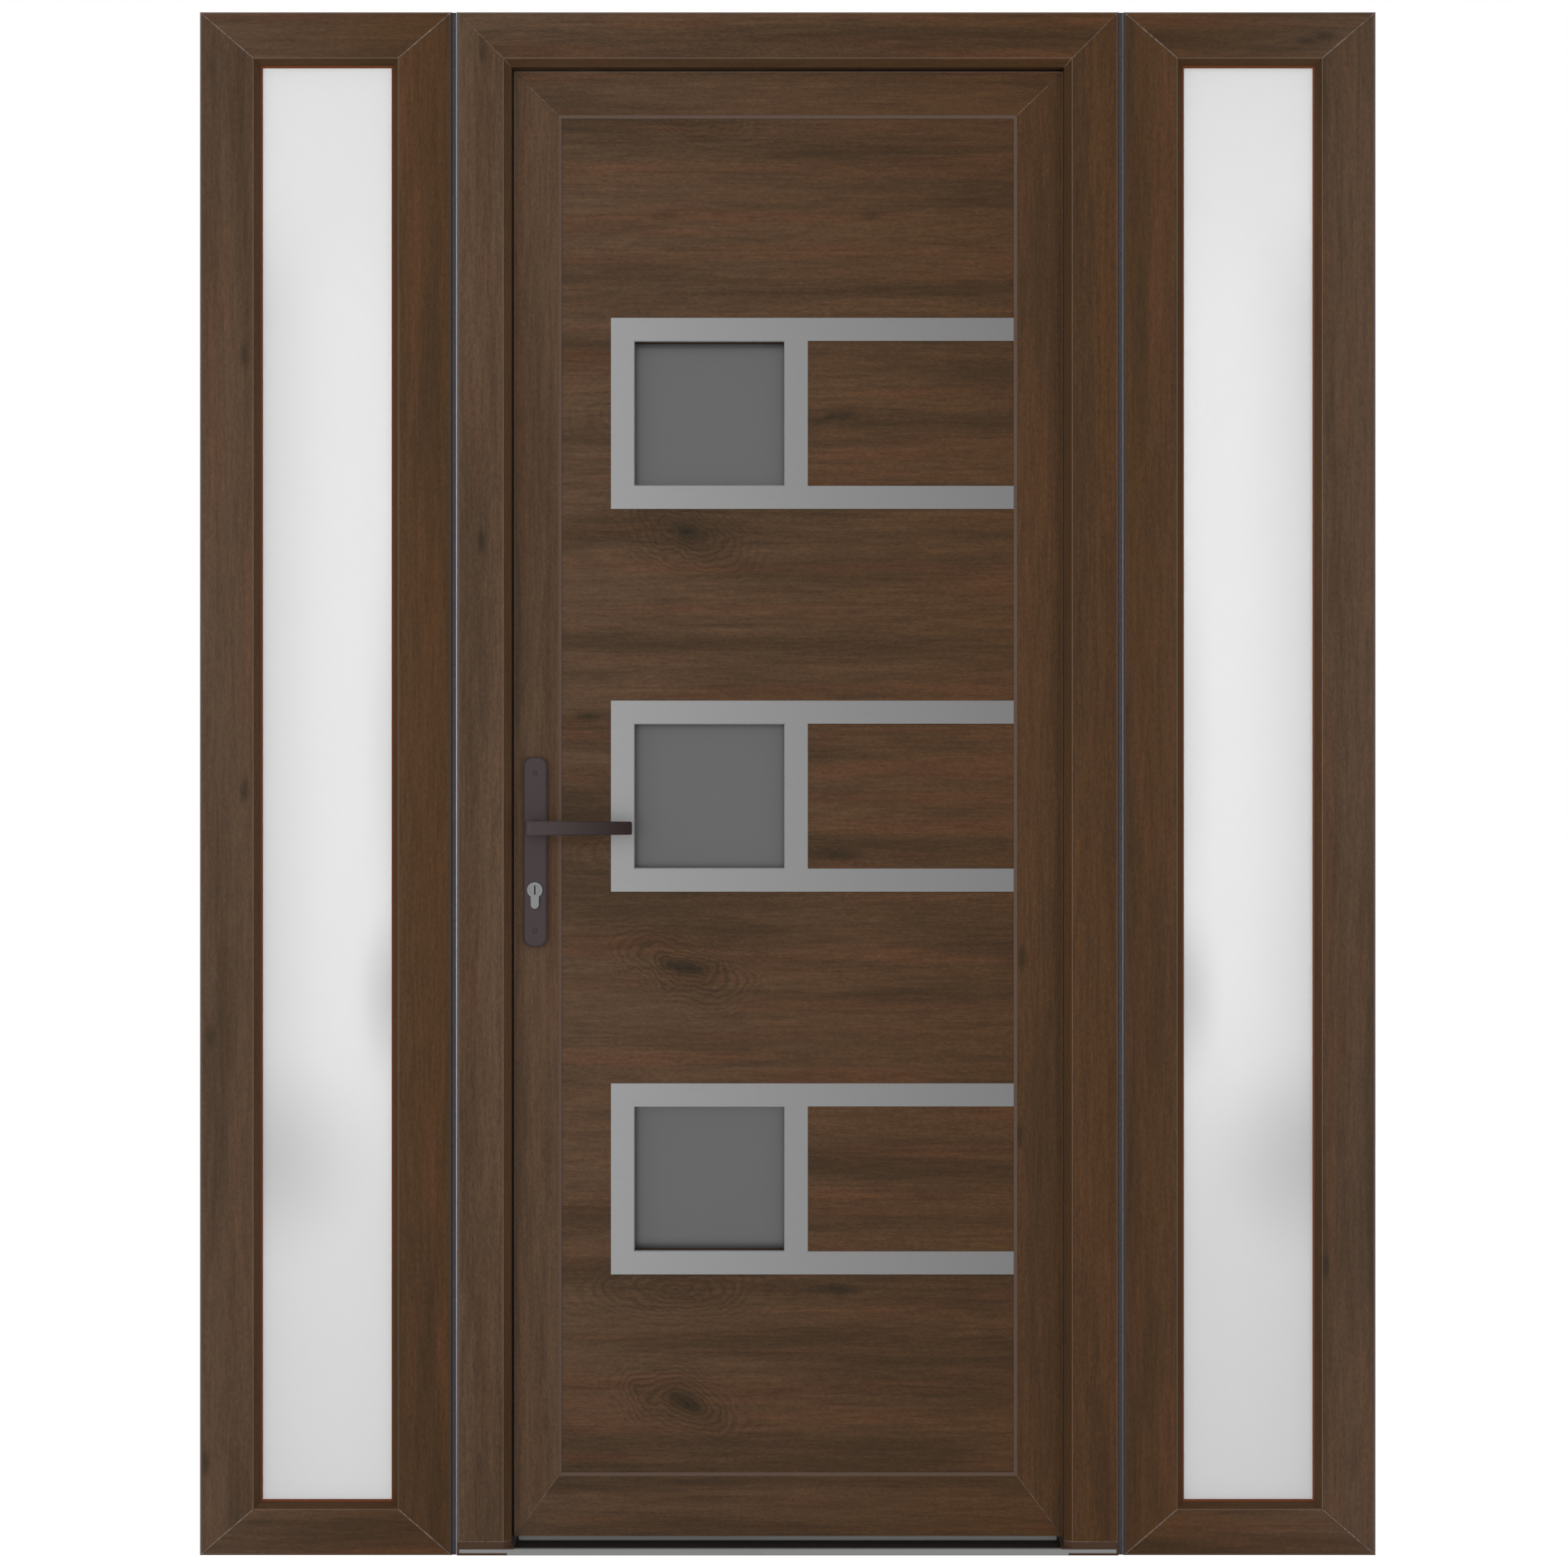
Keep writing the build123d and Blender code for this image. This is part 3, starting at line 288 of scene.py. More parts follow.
    heights = []
    calm = SIDELIGHT_CALM if unit == "sidelight" else 1.0
    for width, length, shift, swing in STREAKS_MM:
        stretched = add(tree, "Mapping", {"Vector": grain.outputs[0], "Location": (shift, shift, shift),
                                          "Scale": (1 / width, 1 / width, 1 / length)})
        noise = add(tree, "TexNoise", {"Vector": stretched.outputs[0], "Scale": 1.0, "Detail": 3.0})
        light = add(tree, "MapRange", {"Value": noise.outputs["Fac"], "From Min": 0.3,
                                       "From Max": 0.7, "To Min": 1 - calm * swing,
                                       "To Max": 1 + calm * swing})
        colour = add(tree, "VectorMath", {0: colour, "Scale": light.outputs[0]},
                     operation="SCALE").outputs[0]
        heights.append(noise)

    facing = add(tree, "SeparateXYZ", {0: place.outputs["Normal"]})
    slope = add(tree, "Math", {0: facing.outputs["Y"]}, operation="ABSOLUTE")
    # Painted highlight: rounded edges between face and bevel are made paler.
    off_face = add(tree, "MapRange", {"Value": slope.outputs[0], "From Min": EDGE_SLOPES[0],
                                      "From Max": EDGE_SLOPES[1], "To Max": EDGE_SHARE})
    off_bevel = add(tree, "MapRange", {"Value": slope.outputs[0], "From Min": BEVEL_SLOPES[1],
                                       "From Max": BEVEL_SLOPES[0]})
    edge_highlight_share = add(tree, "Math", {0: off_face.outputs[0], 1: off_bevel.outputs[0]},
                 operation="MULTIPLY")
    colour = add(tree, "Mix", {0: edge_highlight_share.outputs[0], 6: colour, 7: linear(EDGE_HIGHLIGHT)},
                 data_type="RGBA").outputs[2]
    # Painted shade: bevels are made darker.
    bevel = add(tree, "MapRange", {"Value": slope.outputs[0], "From Min": BEVEL_SLOPES[0],
                                   "From Max": BEVEL_SLOPES[1], "To Max": BEVEL_SHARE})
    colour = add(tree, "Mix", {0: bevel.outputs[0], 6: colour, 7: linear(BEVEL_SHADE)},
                 data_type="RGBA").outputs[2]
    # Painted shade: side walls are made dark, as in the narrow gaps.
    wall = add(tree, "MapRange", {"Value": slope.outputs[0], "From Min": WALL_SLOPES[0],
                                  "From Max": WALL_SLOPES[1]})
    colour = add(tree, "Mix", {0: wall.outputs[0], 6: colour, 7: linear(WALL_SHADES[unit])},
                 data_type="RGBA").outputs[2]
    # Bare PVC where the foil ends; its pale colour is also a painted highlight on the rounded edge.
    wrap = add(tree, "MapRange", {"Value": outward, "From Min": edge - FOIL_WRAP,
                                  "From Max": edge - WRAP_FADE * FOIL_WRAP})
    colour = add(tree, "Mix", {0: wrap.outputs[0], 6: colour, 7: linear(BARE_PVC_HIGHLIGHT)},
                 data_type="RGBA").outputs[2]
    if unit == "sidelight":
        near = add(tree, "MapRange", {"Value": reach.outputs[0], "From Min": INNER_EDGE + SEAM_WIDTH,
                                      "From Max": INNER_EDGE})
        colour = add(tree, "Mix", {0: near.outputs[0], 6: colour, 7: linear(SEAM_SHADE)},
                     data_type="RGBA").outputs[2]

    relief = add(tree, "Math", {0: heights[0].outputs["Fac"], 1: heights[2].outputs["Fac"]},
                 operation="ADD")
    bump = add(tree, "Bump", {"Height": relief.outputs[0], "Strength": 0.25, "Distance": 0.0002})
    rough = add(tree, "MapRange", {"Value": heights[1].outputs["Fac"], "To Min": 0.50, "To Max": 0.66})
    skin = add(tree, "BsdfPrincipled", {"Base Color": colour, "Roughness": rough.outputs[0],
                                        "IOR": 1.46, "Specular IOR Level": 0.15,
                                        "Normal": bump.outputs[0]})
    add(tree, "OutputMaterial", {"Surface": skin.outputs[0]})
    return made


def dress(material, *names):
    """Gives CAD nodes their finish."""
    for name in names:
        mesh = nodes[name].data
        mesh.materials.clear()
        mesh.materials.append(material)


def surface(name, points, material, body, wrap_rows=False):
    """A mesh through a grid of points, shape (sheets, rows, columns, 3), closed along its columns.

    Point (r, c) of each sheet joins (r, c + 1), (r + 1, c + 1) and (r + 1, c) in one face. Rows
    whose points coincide become poles when doubles are merged."""
    sheets, rows, columns, _ = points.shape
    row = np.arange(rows if wrap_rows else rows - 1)[:, None]
    column = np.arange(columns)[None, :]
    first = row * columns + column
    right = row * columns + (column + 1) % columns
    below = ((row + 1) % rows) * columns
    quads = np.stack([first, right, below + (column + 1) % columns, below + column], axis=-1)
    quads = quads.reshape(1, -1, 4) + (np.arange(sheets) * rows * columns)[:, None, None]
    mesh = bpy.data.meshes.new(name)
    mesh.from_pydata(points.reshape(-1, 3).tolist(), [], quads.reshape(-1, 4).tolist())
    joined = bmesh.new()
    joined.from_mesh(mesh)
    bmesh.ops.remove_doubles(joined, verts=joined.verts, dist=1e-6)
    bmesh.ops.recalc_face_normals(joined, faces=joined.faces)
    joined.to_mesh(mesh)
    joined.free()
    mesh.shade_smooth()
    mesh.materials.append(material)
    piece = bpy.data.objects.new(name, mesh)
    scene.collection.objects.link(piece)
    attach(piece, body)
    return piece


def beads(paths, radius, sides=10):
    """Round beads along straight-run paths lying on a face, shape (paths, points, 3), ends closed.

    Round each path point a circle stands square to the mean direction of its two runs; the first
    and last circles are repeated with no radius, which closes the ends."""
    paths = np.asarray(paths, dtype=float)
    runs = np.diff(paths, axis=1)
    runs /= np.linalg.norm(runs, axis=2, keepdims=True)
    along = np.concatenate([runs[:, :1], runs[:, :-1] + runs[:, 1:], runs[:, -1:]], axis=1)
    along /= np.linalg.norm(along, axis=2, keepdims=True)
    out = np.array([0.0, 1.0, 0.0]) - along[..., 1:2] * along
    out /= np.linalg.norm(out, axis=2, keepdims=True)
    side = np.cross(along, out)
    ends = [0, *range(paths.shape[1]), paths.shape[1] - 1]
    size = radius * np.array([0.0] + [1.0] * paths.shape[1] + [0.0])[None, :, None, None]
    turn = np.linspace(0, 2 * np.pi, sides, endpoint=False)[None, None, :, None]
    circle = np.cos(turn) * out[:, ends, None, :] + np.sin(turn) * side[:, ends, None, :]
    return paths[:, ends, None, :] + size * circle


upright_foil = wood_foil("wood foil on PVC, grain upright", "Z", "door")
level_foil = wood_foil("wood foil on PVC, grain level", "X", "door")
dress(upright_foil, "left_jamb", "right_jamb")
dress(level_foil, "head")

weld, tree = finish("brown weld colour pen, brushed")
place = add(tree, "TexCoord")
blotch = add(tree, "TexNoise", {"Vector": place.outputs["Object"], "Scale": 260.0, "Detail": 2.0})
share = add(tree, "MapRange", {"Value": blotch.outputs["Fac"], "From Min": 0.35, "From Max": 0.65})
colour = add(tree, "Mix", {0: share.outputs[0], 6: linear(SHEEN_TONES["door"][0]), 7: linear(WELD_LINE)},
             data_type="RGBA")
skin = add(tree, "BsdfPrincipled", {"Base Color": colour.outputs[2], "Roughness": 0.55, "IOR": 1.46})
add(tree, "OutputMaterial", {"Surface": skin.outputs[0]})

top_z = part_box("head")[1].z
bevel_y = front_y + BEVEL_DEPTH
lip = FRAME_FACE + FRAME_BEVEL
frame_welds = [[(side * DOOR_EDGE, front_y, top_z),
                (side * (DOOR_EDGE - FRAME_FACE), front_y, top_z - FRAME_FACE),
                (side * (DOOR_EDGE - lip), bevel_y, top_z - lip)] for side in (-1, 1)]
surface("frame_welds", beads(frame_welds, WELD_RADIUS), weld, "frame")
jamb_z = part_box("left_jamb")[0].z
foot_seals = [[(side * DOOR_EDGE, front_y, jamb_z), (side * (DOOR_EDGE - FRAME_FACE), front_y, jamb_z),
               (side * (DOOR_EDGE - lip), bevel_y, jamb_z)] for side in (-1, 1)]
surface("foot_seals", beads(foot_seals, WELD_RADIUS), weld, "frame")

# Gaskets of the door: extruded EPDM rubber, pressed into grooves of the frame's lip and of the
# leaf's flange, and the fin of the drop seal. Deep black, and matt with fine drawn lines. At the
# lock side and the head a round fin of the frame's gasket shows past the lip, just off the leaf;
# it is partly the gasket and partly a painted shadow in the gap between lip and leaf.
EPDM = "#0B0A09"
FIN_RADIUS, FIN_CLEARANCE = 0.0010, 0.0002
rubber, tree = finish("black EPDM rubber, extruded")
place = add(tree, "TexCoord")
drawn = add(tree, "TexNoise", {"Vector": place.outputs["Object"], "Scale": 900.0, "Detail": 2.0})
light = add(tree, "MapRange", {"Value": drawn.outputs["Fac"], "To Min": 0.8, "To Max": 1.2})
tint = add(tree, "VectorMath", {0: linear(EPDM)[:3], "Scale": light.outputs[0]}, operation="SCALE")
bump = add(tree, "Bump", {"Height": drawn.outputs["Fac"], "Strength": 0.2, "Distance": 0.0001})
skin = add(tree, "BsdfPrincipled", {"Base Color": tint.outputs[0], "Roughness": 0.75, "IOR": 1.5,
                                    "Specular IOR Level": 0.15, "Normal": bump.outputs[0]})
add(tree, "OutputMaterial", {"Surface": skin.outputs[0]})
dress(rubber, "frame_gasket", "leaf_gasket", "bottom_seal")
leaf_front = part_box("lock_stile")[0].y
leaf_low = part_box("bottom_rail")[0].z
leaf_high = top_z - lip
visible_x = DOOR_EDGE - lip
# Partly painted shadow: the black fin stands only at the lock side and the head, darkening the gap.
fin_x, fin_y = FIN_RADIUS - visible_x, leaf_front - FIN_CLEARANCE - FIN_RADIUS
fin_z = leaf_high - FIN_RADIUS
gasket_fin_shadow = [[(fin_x, fin_y, leaf_low), (fin_x, fin_y, fin_z), (visible_x, fin_y, fin_z)]]
surface("gasket_fin_shadow", beads(gasket_fin_shadow, FIN_RADIUS, sides=16), rubber, "frame")

# Threshold and drop seal channel: drawn aluminium, satin anodised, with fine lines along it; the channel
# under the leaf is painted a darker grey, as painted shade.
# The threshold's core is brown extruded PVC, held at both ends in moulded ASA blocks; its brown is
# painted near black, as painted shade under the leaf.
ANODISED, CARRIER_SHADE_GREY, SHADED_CORE_BROWN, BLOCK_BROWN = "#888887", "#737372", "#150E08", "#4A3527"
DRAWN_LINE_MM = 1.2


def drawn_aluminium(name, colour, roughness):
    """Metal with lines along x: noise stretched half a metre long and DRAWN_LINE_MM across."""
    made, tree = finish(name)
    place = add(tree, "TexCoord")
    lines = add(tree, "Mapping", {"Vector": place.outputs["Object"],
                                  "Scale": (2.0, MM / DRAWN_LINE_MM, MM / DRAWN_LINE_MM)})
    drawn = add(tree, "TexNoise", {"Vector": lines.outputs[0], "Scale": 1.0, "Detail": 3.0})
    rough = add(tree, "MapRange", {"Value": drawn.outputs["Fac"], "To Min": roughness - 0.07,
                                   "To Max": roughness + 0.07})
    light = add(tree, "MapRange", {"Value": drawn.outputs["Fac"], "To Min": 0.90, "To Max": 1.08})
    tint = add(tree, "VectorMath", {0: linear(colour)[:3], "Scale": light.outputs[0]},
               operation="SCALE")
    bump = add(tree, "Bump", {"Height": drawn.outputs["Fac"], "Strength": 0.15,
                              "Distance": 0.0001})
    skin = add(tree, "BsdfPrincipled", {"Base Color": tint.outputs[0], "Metallic": 1.0,
                                        "Roughness": rough.outputs[0], "Normal": bump.outputs[0]})
    add(tree, "OutputMaterial", {"Surface": skin.outputs[0]})
    return made


dress(drawn_aluminium("aluminium, drawn and satin anodised", ANODISED, 0.45), "threshold_nose")
# Painted shade: the seal's carrier is a darker grey under the leaf.
dress(drawn_aluminium("aluminium, drawn, painted darker as shade", CARRIER_SHADE_GREY, 0.55), "bottom_seal_carrier")


def plastic(name, colour, roughness, mottle_mm, mottle=0.06, relief=0.15):
    """Even plastic with a faint mottle and relief: noise of mottle_mm in the object's metres."""
    made, tree = finish(name)
    place = add(tree, "TexCoord")
    noise = add(tree, "TexNoise", {"Vector": place.outputs["Object"], "Scale": MM / mottle_mm,
                                   "Detail": 3.0})
    light = add(tree, "MapRange", {"Value": noise.outputs["Fac"], "From Min": 0.3, "From Max": 0.7,
                                   "To Min": 1 - mottle, "To Max": 1 + mottle})
    tint = add(tree, "VectorMath", {0: linear(colour)[:3], "Scale": light.outputs[0]},
               operation="SCALE")
    rough = add(tree, "MapRange", {"Value": noise.outputs["Fac"], "To Min": roughness - 0.06,
                                   "To Max": roughness + 0.06})
    bump = add(tree, "Bump", {"Height": noise.outputs["Fac"], "Strength": relief,
                              "Distance": 0.0001})
    skin = add(tree, "BsdfPrincipled", {"Base Color": tint.outputs[0], "IOR": 1.46,
                                        "Roughness": rough.outputs[0],
                                        "Specular IOR Level": 0.2, "Normal": bump.outputs[0]})
    add(tree, "OutputMaterial", {"Surface": skin.outputs[0]})
    return made


# Painted shade: the core's brown is made near black where it lies under the leaf.
dress(plastic("brown PVC, extruded", SHADED_CORE_BROWN, 0.75, 2.0), "threshold_core")
dress(plastic("brown ASA, moulded and textured", BLOCK_BROWN, 0.6, 0.8), "threshold_end_blocks")

# Coupling strips: anthracite PVC profiles pushed between the sidelights and the door frame, each
# closed in front by a thin bead of light grey silicone beside its right-hand neighbour. The bead's
# pale line is partly the silicone and partly a painted highlight on the joint's lit side.
COUPLING_GREY, SILICONE_HIGHLIGHT = "#434248", "#D2CCC9"
LEFT_BEAD, RIGHT_BEAD = 0.0016, 0.0007
dress(plastic("anthracite PVC, extruded", COUPLING_GREY, 0.5, 1.6, mottle=0.3), "coupling_strips")
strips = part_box("coupling_strips")
bead_y = strips[0].y
# The pale beads are silicone and also a painted highlight on each joint.
seams = [beads([[(x - width / 2, bead_y, z) for z in (0.0, top_z)]], width / 2, sides=16)
         for x, width in ((-DOOR_EDGE, LEFT_BEAD), (INNER_EDGE, RIGHT_BEAD))]
surface("silicone_highlight_beads", np.concatenate(seams),
        plastic("light grey silicone, tooled", SILICONE_HIGHLIGHT, 0.4, 6.0, relief=0.3), "frame")

# Sidelights: welded frames of the same foiled PVC, with a painted sheen greyer at the outer edge and
# redder towards the door, a thin red-brown gasket round the glass outside and glazing beads inside.
SIDE_GASKET_BROWN = "#6E3A1C"
SIDE_STILE_FACE, SIDE_RAIL_FACE, SIDE_WELD_RADIUS = 0.073, 0.063, 0.0010
side_upright_foil = wood_foil("sidelight wood foil on PVC, grain upright", "Z", "sidelight")
side_level_foil = wood_foil("sidelight wood foil on PVC, grain level", "X", "sidelight")
for side in ("left", "right"):
    dress(side_upright_foil, f"{side}_sidelight_outer_stile", f"{side}_sidelight_inner_stile")
    dress(side_level_foil, f"{side}_sidelight_head", f"{side}_sidelight_sill")
dress(side_upright_foil, "sidelight_beads")
dress(plastic("red-brown soft PVC seal, extruded", SIDE_GASKET_BROWN, 0.6, 1.5), "sidelight_gaskets")
side_welds = []
for side in (-1, 1):
    for edge, inward in ((INNER_EDGE, 1), (OUTER_EDGE, -1)):
        for corner_z, up in ((0.0, 1), (top_z, -1)):
            side_welds.append([
                (side * (edge + inward * SIDE_WELD_RADIUS), front_y,
                 corner_z + up * SIDE_WELD_RADIUS),
                (side * (edge + inward * SIDE_STILE_FACE), front_y, corner_z + up * SIDE_RAIL_FACE)])
surface("sidelight_welds", beads(side_welds, SIDE_WELD_RADIUS), weld, "frame")

# Sidelight glass: sealed units of satin-etched float glass, milky and smooth, that pass a fifth of
# the light. Their colour is painted palest near the door at mid-height, a little darker on the
# right, and with three soft grey patches: painted light and shade of what shows through the sheet.
SATIN_HEIGHTS = ((0.45, 0.75), (1.68, 1.88))
SATIN_OUTER = ("#EBEBEC", "#E2E2E3", "#FAFAFB")
SATIN_INNER = ("#F4F4F5", "#FDFDFE", "#FAFAFB")
RIGHT_GLASS_SHADE, GLASS_FADE = 0.965, (0.30, 0.65)
GLASS_SHADE_PATCHES = ((0.710, 0.54, 0.16, 0.17, 0.19), (0.540, 0.763, 0.060, 0.150, 0.24),
                 (0.540, 1.10, 0.050, 0.35, 0.10))
satin, tree = finish("satin-etched float glass")
place = add(tree, "TexCoord")
metres = add(tree, "SeparateXYZ", {0: place.outputs["Object"]})
reach = add(tree, "Math", {0: metres.outputs["X"]}, operation="ABSOLUTE")
glass_edge = OUTER_EDGE - SIDE_STILE_FACE
glass_width = glass_edge - INNER_EDGE - SIDE_STILE_FACE
inwards = add(tree, "MapRange", {"Value": reach.outputs[0],
                                 "From Min": glass_edge + GLASS_FADE[0] * glass_width,
                                 "From Max": glass_edge - GLASS_FADE[1] * glass_width},
              interpolation_type="SMOOTHSTEP")
# Painted light: the colour is palest near the door at mid-height.
shades = []
for foot, *above in (SATIN_OUTER, SATIN_INNER):
    shade = linear(foot)
    for (low, high), tone in zip(SATIN_HEIGHTS, above):
        part = add(tree, "MapRange", {"Value": metres.outputs["Z"], "From Min": low,
                                      "From Max": high}, interpolation_type="SMOOTHSTEP")
        shade = add(tree, "Mix", {0: part.outputs[0], 6: shade, 7: linear(tone)},
                    data_type="RGBA").outputs[2]
    shades.append(shade)
colour = add(tree, "Mix", {0: inwards.outputs[0], 6: shades[0], 7: shades[1]},
             data_type="RGBA").outputs[2]
folded = add(tree, "CombineXYZ", {"X": reach.outputs[0], "Z": metres.outputs["Z"]})
# Painted shade: the right pane a little darker, and three soft grey patches.
dims = [add(tree, "MapRange", {"Value": metres.outputs["X"], "From Min": -INNER_EDGE,
                               "From Max": INNER_EDGE, "To Min": 1.0, "To Max": RIGHT_GLASS_SHADE})]
for x, z, width, height, strength in GLASS_SHADE_PATCHES:
    patch = add(tree, "Mapping", {"Vector": folded.outputs[0], "Location": (x, 0.0, z),
                                  "Scale": (width, 1.0, height)}, vector_type="TEXTURE")
    distance = add(tree, "VectorMath", {0: patch.outputs[0]}, operation="LENGTH")
    dims.append(add(tree, "MapRange", {"Value": distance.outputs["Value"], "From Min": 1.0,
                                       "From Max": 0.0, "To Min": 1.0, "To Max": 1 - strength},
                    interpolation_type="SMOOTHSTEP"))
for dim in dims:
    colour = add(tree, "VectorMath", {0: colour, "Scale": dim.outputs[0]}, operation="SCALE").outputs[0]
etch = add(tree, "TexNoise", {"Vector": place.outputs["Object"], "Scale": 1400.0, "Detail": 2.0})
bump = add(tree, "Bump", {"Height": etch.outputs["Fac"], "Strength": 0.1, "Distance": 0.0001})
skin = add(tree, "BsdfPrincipled", {"Base Color": colour, "Roughness": 0.38, "IOR": 1.52,
                                    "Specular IOR Level": 0.4, "Transmission Weight": 0.20,
                                    "Normal": bump.outputs[0]})
add(tree, "OutputMaterial", {"Surface": skin.outputs[0]})
dress(satin, "left_sidelight_glass", "right_sidelight_glass")

# Leaf: stiles and rails of the same foiled PVC, welded at mitres. The lock stile carries the
# handle. Thin pen-coloured weld lines show at its four mitres, and a fine pale rib of the
# profile runs round its face just inside the gasket, a painted highlight on the leaf's edge.
RIB_HIGHLIGHT, RIB_RADIUS = "#75665C", 0.00045
dress(upright_foil, "lock_stile", "hinge_stile")
dress(level_foil, "top_rail", "bottom_rail")
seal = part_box("panel_seal")
rib_left = fin_x + FIN_RADIUS + FIN_CLEARANCE + RIB_RADIUS
rib_right = visible_x - FIN_CLEARANCE - RIB_RADIUS
rib_high = fin_z - FIN_RADIUS - FIN_CLEARANCE - RIB_RADIUS
# Painted highlight: a pale rib round the leaf's face beside the gasket.
rib = [[(rib_left, leaf_front, leaf_low), (rib_left, leaf_front, rib_high),
        (rib_right, leaf_front, rib_high), (rib_right, leaf_front, leaf_low)]]
surface("leaf_highlight_rib", beads(rib, RIB_RADIUS),
        plastic("wood foil on a rib, painted highlight", RIB_HIGHLIGHT, 0.55, 4.0, mottle=0.12), "leaf")
leaf_welds = [[(edge_x, leaf_front, edge_z), (sight_x, leaf_front, sight_z)]
              for edge_x, sight_x in ((rib_left, seal[0].x), (rib_right, seal[1].x))
              for edge_z, sight_z in ((leaf_low, seal[0].z), (rib_high, seal[1].z))]
surface("leaf_welds", beads(leaf_welds, WELD_RADIUS), weld, "leaf")

# Infill panel: foam core between two foiled skins, its grain running level, with two soft olive
# knots of the oak print repeated up the panel. A grey-brown soft seal lies round it, and inside
# it is held by foiled glazing beads.
KNOT_REPEAT_MM = 596.0
PANEL_KNOTS_MM = ((-144.0, 798.0, 32.0, 15.0, 20.0, 0.52, 0.72),
                  (62.0, 954.0, 48.0, 10.0, 0.0, 0.0, 0.62), (-150.0, 955.0, 44.0, 15.0, 0.0, 0.42, 0.0))
PANEL_SEAL_BROWN = "#5F4D42"
dress(wood_foil("wood foil on panel skin, grain level", "X", "door", PANEL_KNOTS_MM, KNOT_REPEAT_MM),
      "panel")
dress(plastic("grey-brown soft PVC seal, extruded", PANEL_SEAL_BROWN, 0.6, 1.5), "panel_seal")
dress(level_foil, "panel_beads")

# Small panes: graphite-tinted glass with a solar coating, set deep in the panel from inside behind
# plain foiled frames. The coating's soft, even mirror keeps them flat grey seen straight on.
GRAPHITE = "#3E3E3E"
COATING_IOR = 1.9
graphite, tree = finish("graphite-tinted glass, solar coated")
place = add(tree, "TexCoord")
roll = add(tree, "TexNoise", {"Vector": place.outputs["Object"], "Scale": 9.0, "Detail": 1.0})
light = add(tree, "MapRange", {"Value": roll.outputs["Fac"], "To Min": 0.97, "To Max": 1.03})
tint = add(tree, "VectorMath", {0: linear(GRAPHITE)[:3], "Scale": light.outputs[0]},
           operation="SCALE")
bump = add(tree, "Bump", {"Height": roll.outputs["Fac"], "Strength": 0.02, "Distance": 0.001})
skin = add(tree, "BsdfPrincipled", {"Base Color": tint.outputs[0], "Roughness": 0.30,
                                    "IOR": COATING_IOR, "Normal": bump.outputs[0]})
add(tree, "OutputMaterial", {"Surface": skin.outputs[0]})
dress(graphite, "leaf_panes")
dress(level_foil, "pane_inner_frames")

# Trims: stainless steel sheet, 1.5 mm, cut in one piece, brushed along its length and glued on.
# The brushing spreads reflections, so the sheet is satin; a painted reflection darkens it towards the
# hinges.
STEEL_LEFT, STEEL_RIGHT = "#9B9B9B", "#7D7D7D"
BRUSH_MM = 1.4
steel, tree = finish("stainless steel sheet, brushed")
place = add(tree, "TexCoord")
metres = add(tree, "SeparateXYZ", {0: place.outputs["Object"]})
trim_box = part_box("top_trim")
# Painted reflection: the colour runs from lighter at the left to darker towards the hinges.
run = add(tree, "MapRange", {"Value": metres.outputs["X"], "From Min": trim_box[0].x,
                             "From Max": trim_box[1].x})
colour = add(tree, "Mix", {0: run.outputs[0], 6: linear(STEEL_LEFT), 7: linear(STEEL_RIGHT)},
             data_type="RGBA")
lines = add(tree, "Mapping", {"Vector": place.outputs["Object"],
                              "Scale": (12.0, MM / BRUSH_MM, MM / BRUSH_MM)})
brushed = add(tree, "TexNoise", {"Vector": lines.outputs[0], "Scale": 1.0, "Detail": 4.0})
light = add(tree, "MapRange", {"Value": brushed.outputs["Fac"], "To Min": 0.95, "To Max": 1.05})
tint = add(tree, "VectorMath", {0: colour.outputs[2], "Scale": light.outputs[0]}, operation="SCALE")
rough = add(tree, "MapRange", {"Value": brushed.outputs["Fac"], "To Min": 0.34, "To Max": 0.50})
bump = add(tree, "Bump", {"Height": brushed.outputs["Fac"], "Strength": 0.12, "Distance": 0.0001})
skin = add(tree, "BsdfPrincipled", {"Base Color": tint.outputs[0], "Roughness": rough.outputs[0],
                                    "Metallic": 1.0, "Normal": bump.outputs[0]})
add(tree, "OutputMaterial", {"Surface": skin.outputs[0]})
dress(steel, "top_trim", "middle_trim", "bottom_trim")

# Sealant: a thin bead of grey silicone in the corner between each trim and its pane's reveal.
# It reads as a fine light line round the pane, partly a painted highlight of the trim's cut edge.
SEALANT_HIGHLIGHT_GREY = "#878786"
TRIM_BAND, PANE_WIDTH, PANE_HEIGHT = 0.0315, 0.2065, 0.1985
SEALANT_RADIUS, SEALANT_INSET = 0.0010, 0.0004
loops = []
for name in ("top_trim", "middle_trim", "bottom_trim"):
    low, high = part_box(name)
    left = low.x + TRIM_BAND + SEALANT_INSET
    right = left + PANE_WIDTH - 2 * SEALANT_INSET
    middle, half = (low.z + high.z) / 2, PANE_HEIGHT / 2 - SEALANT_INSET
    loops.append([(x, high.y, middle + way * half)
                  for x, way in ((left, -1), (left, 1), (right, 1), (right, -1), (left, -1))])
# The pale beads are sealant and partly a painted highlight of the trims' cut edges.
surface("pane_sealant_highlight", beads(loops, SEALANT_RADIUS),
        plastic("grey silicone, tooled", SEALANT_HIGHLIGHT_GREY, 0.45, 3.0, mottle=0.14), "leaf")

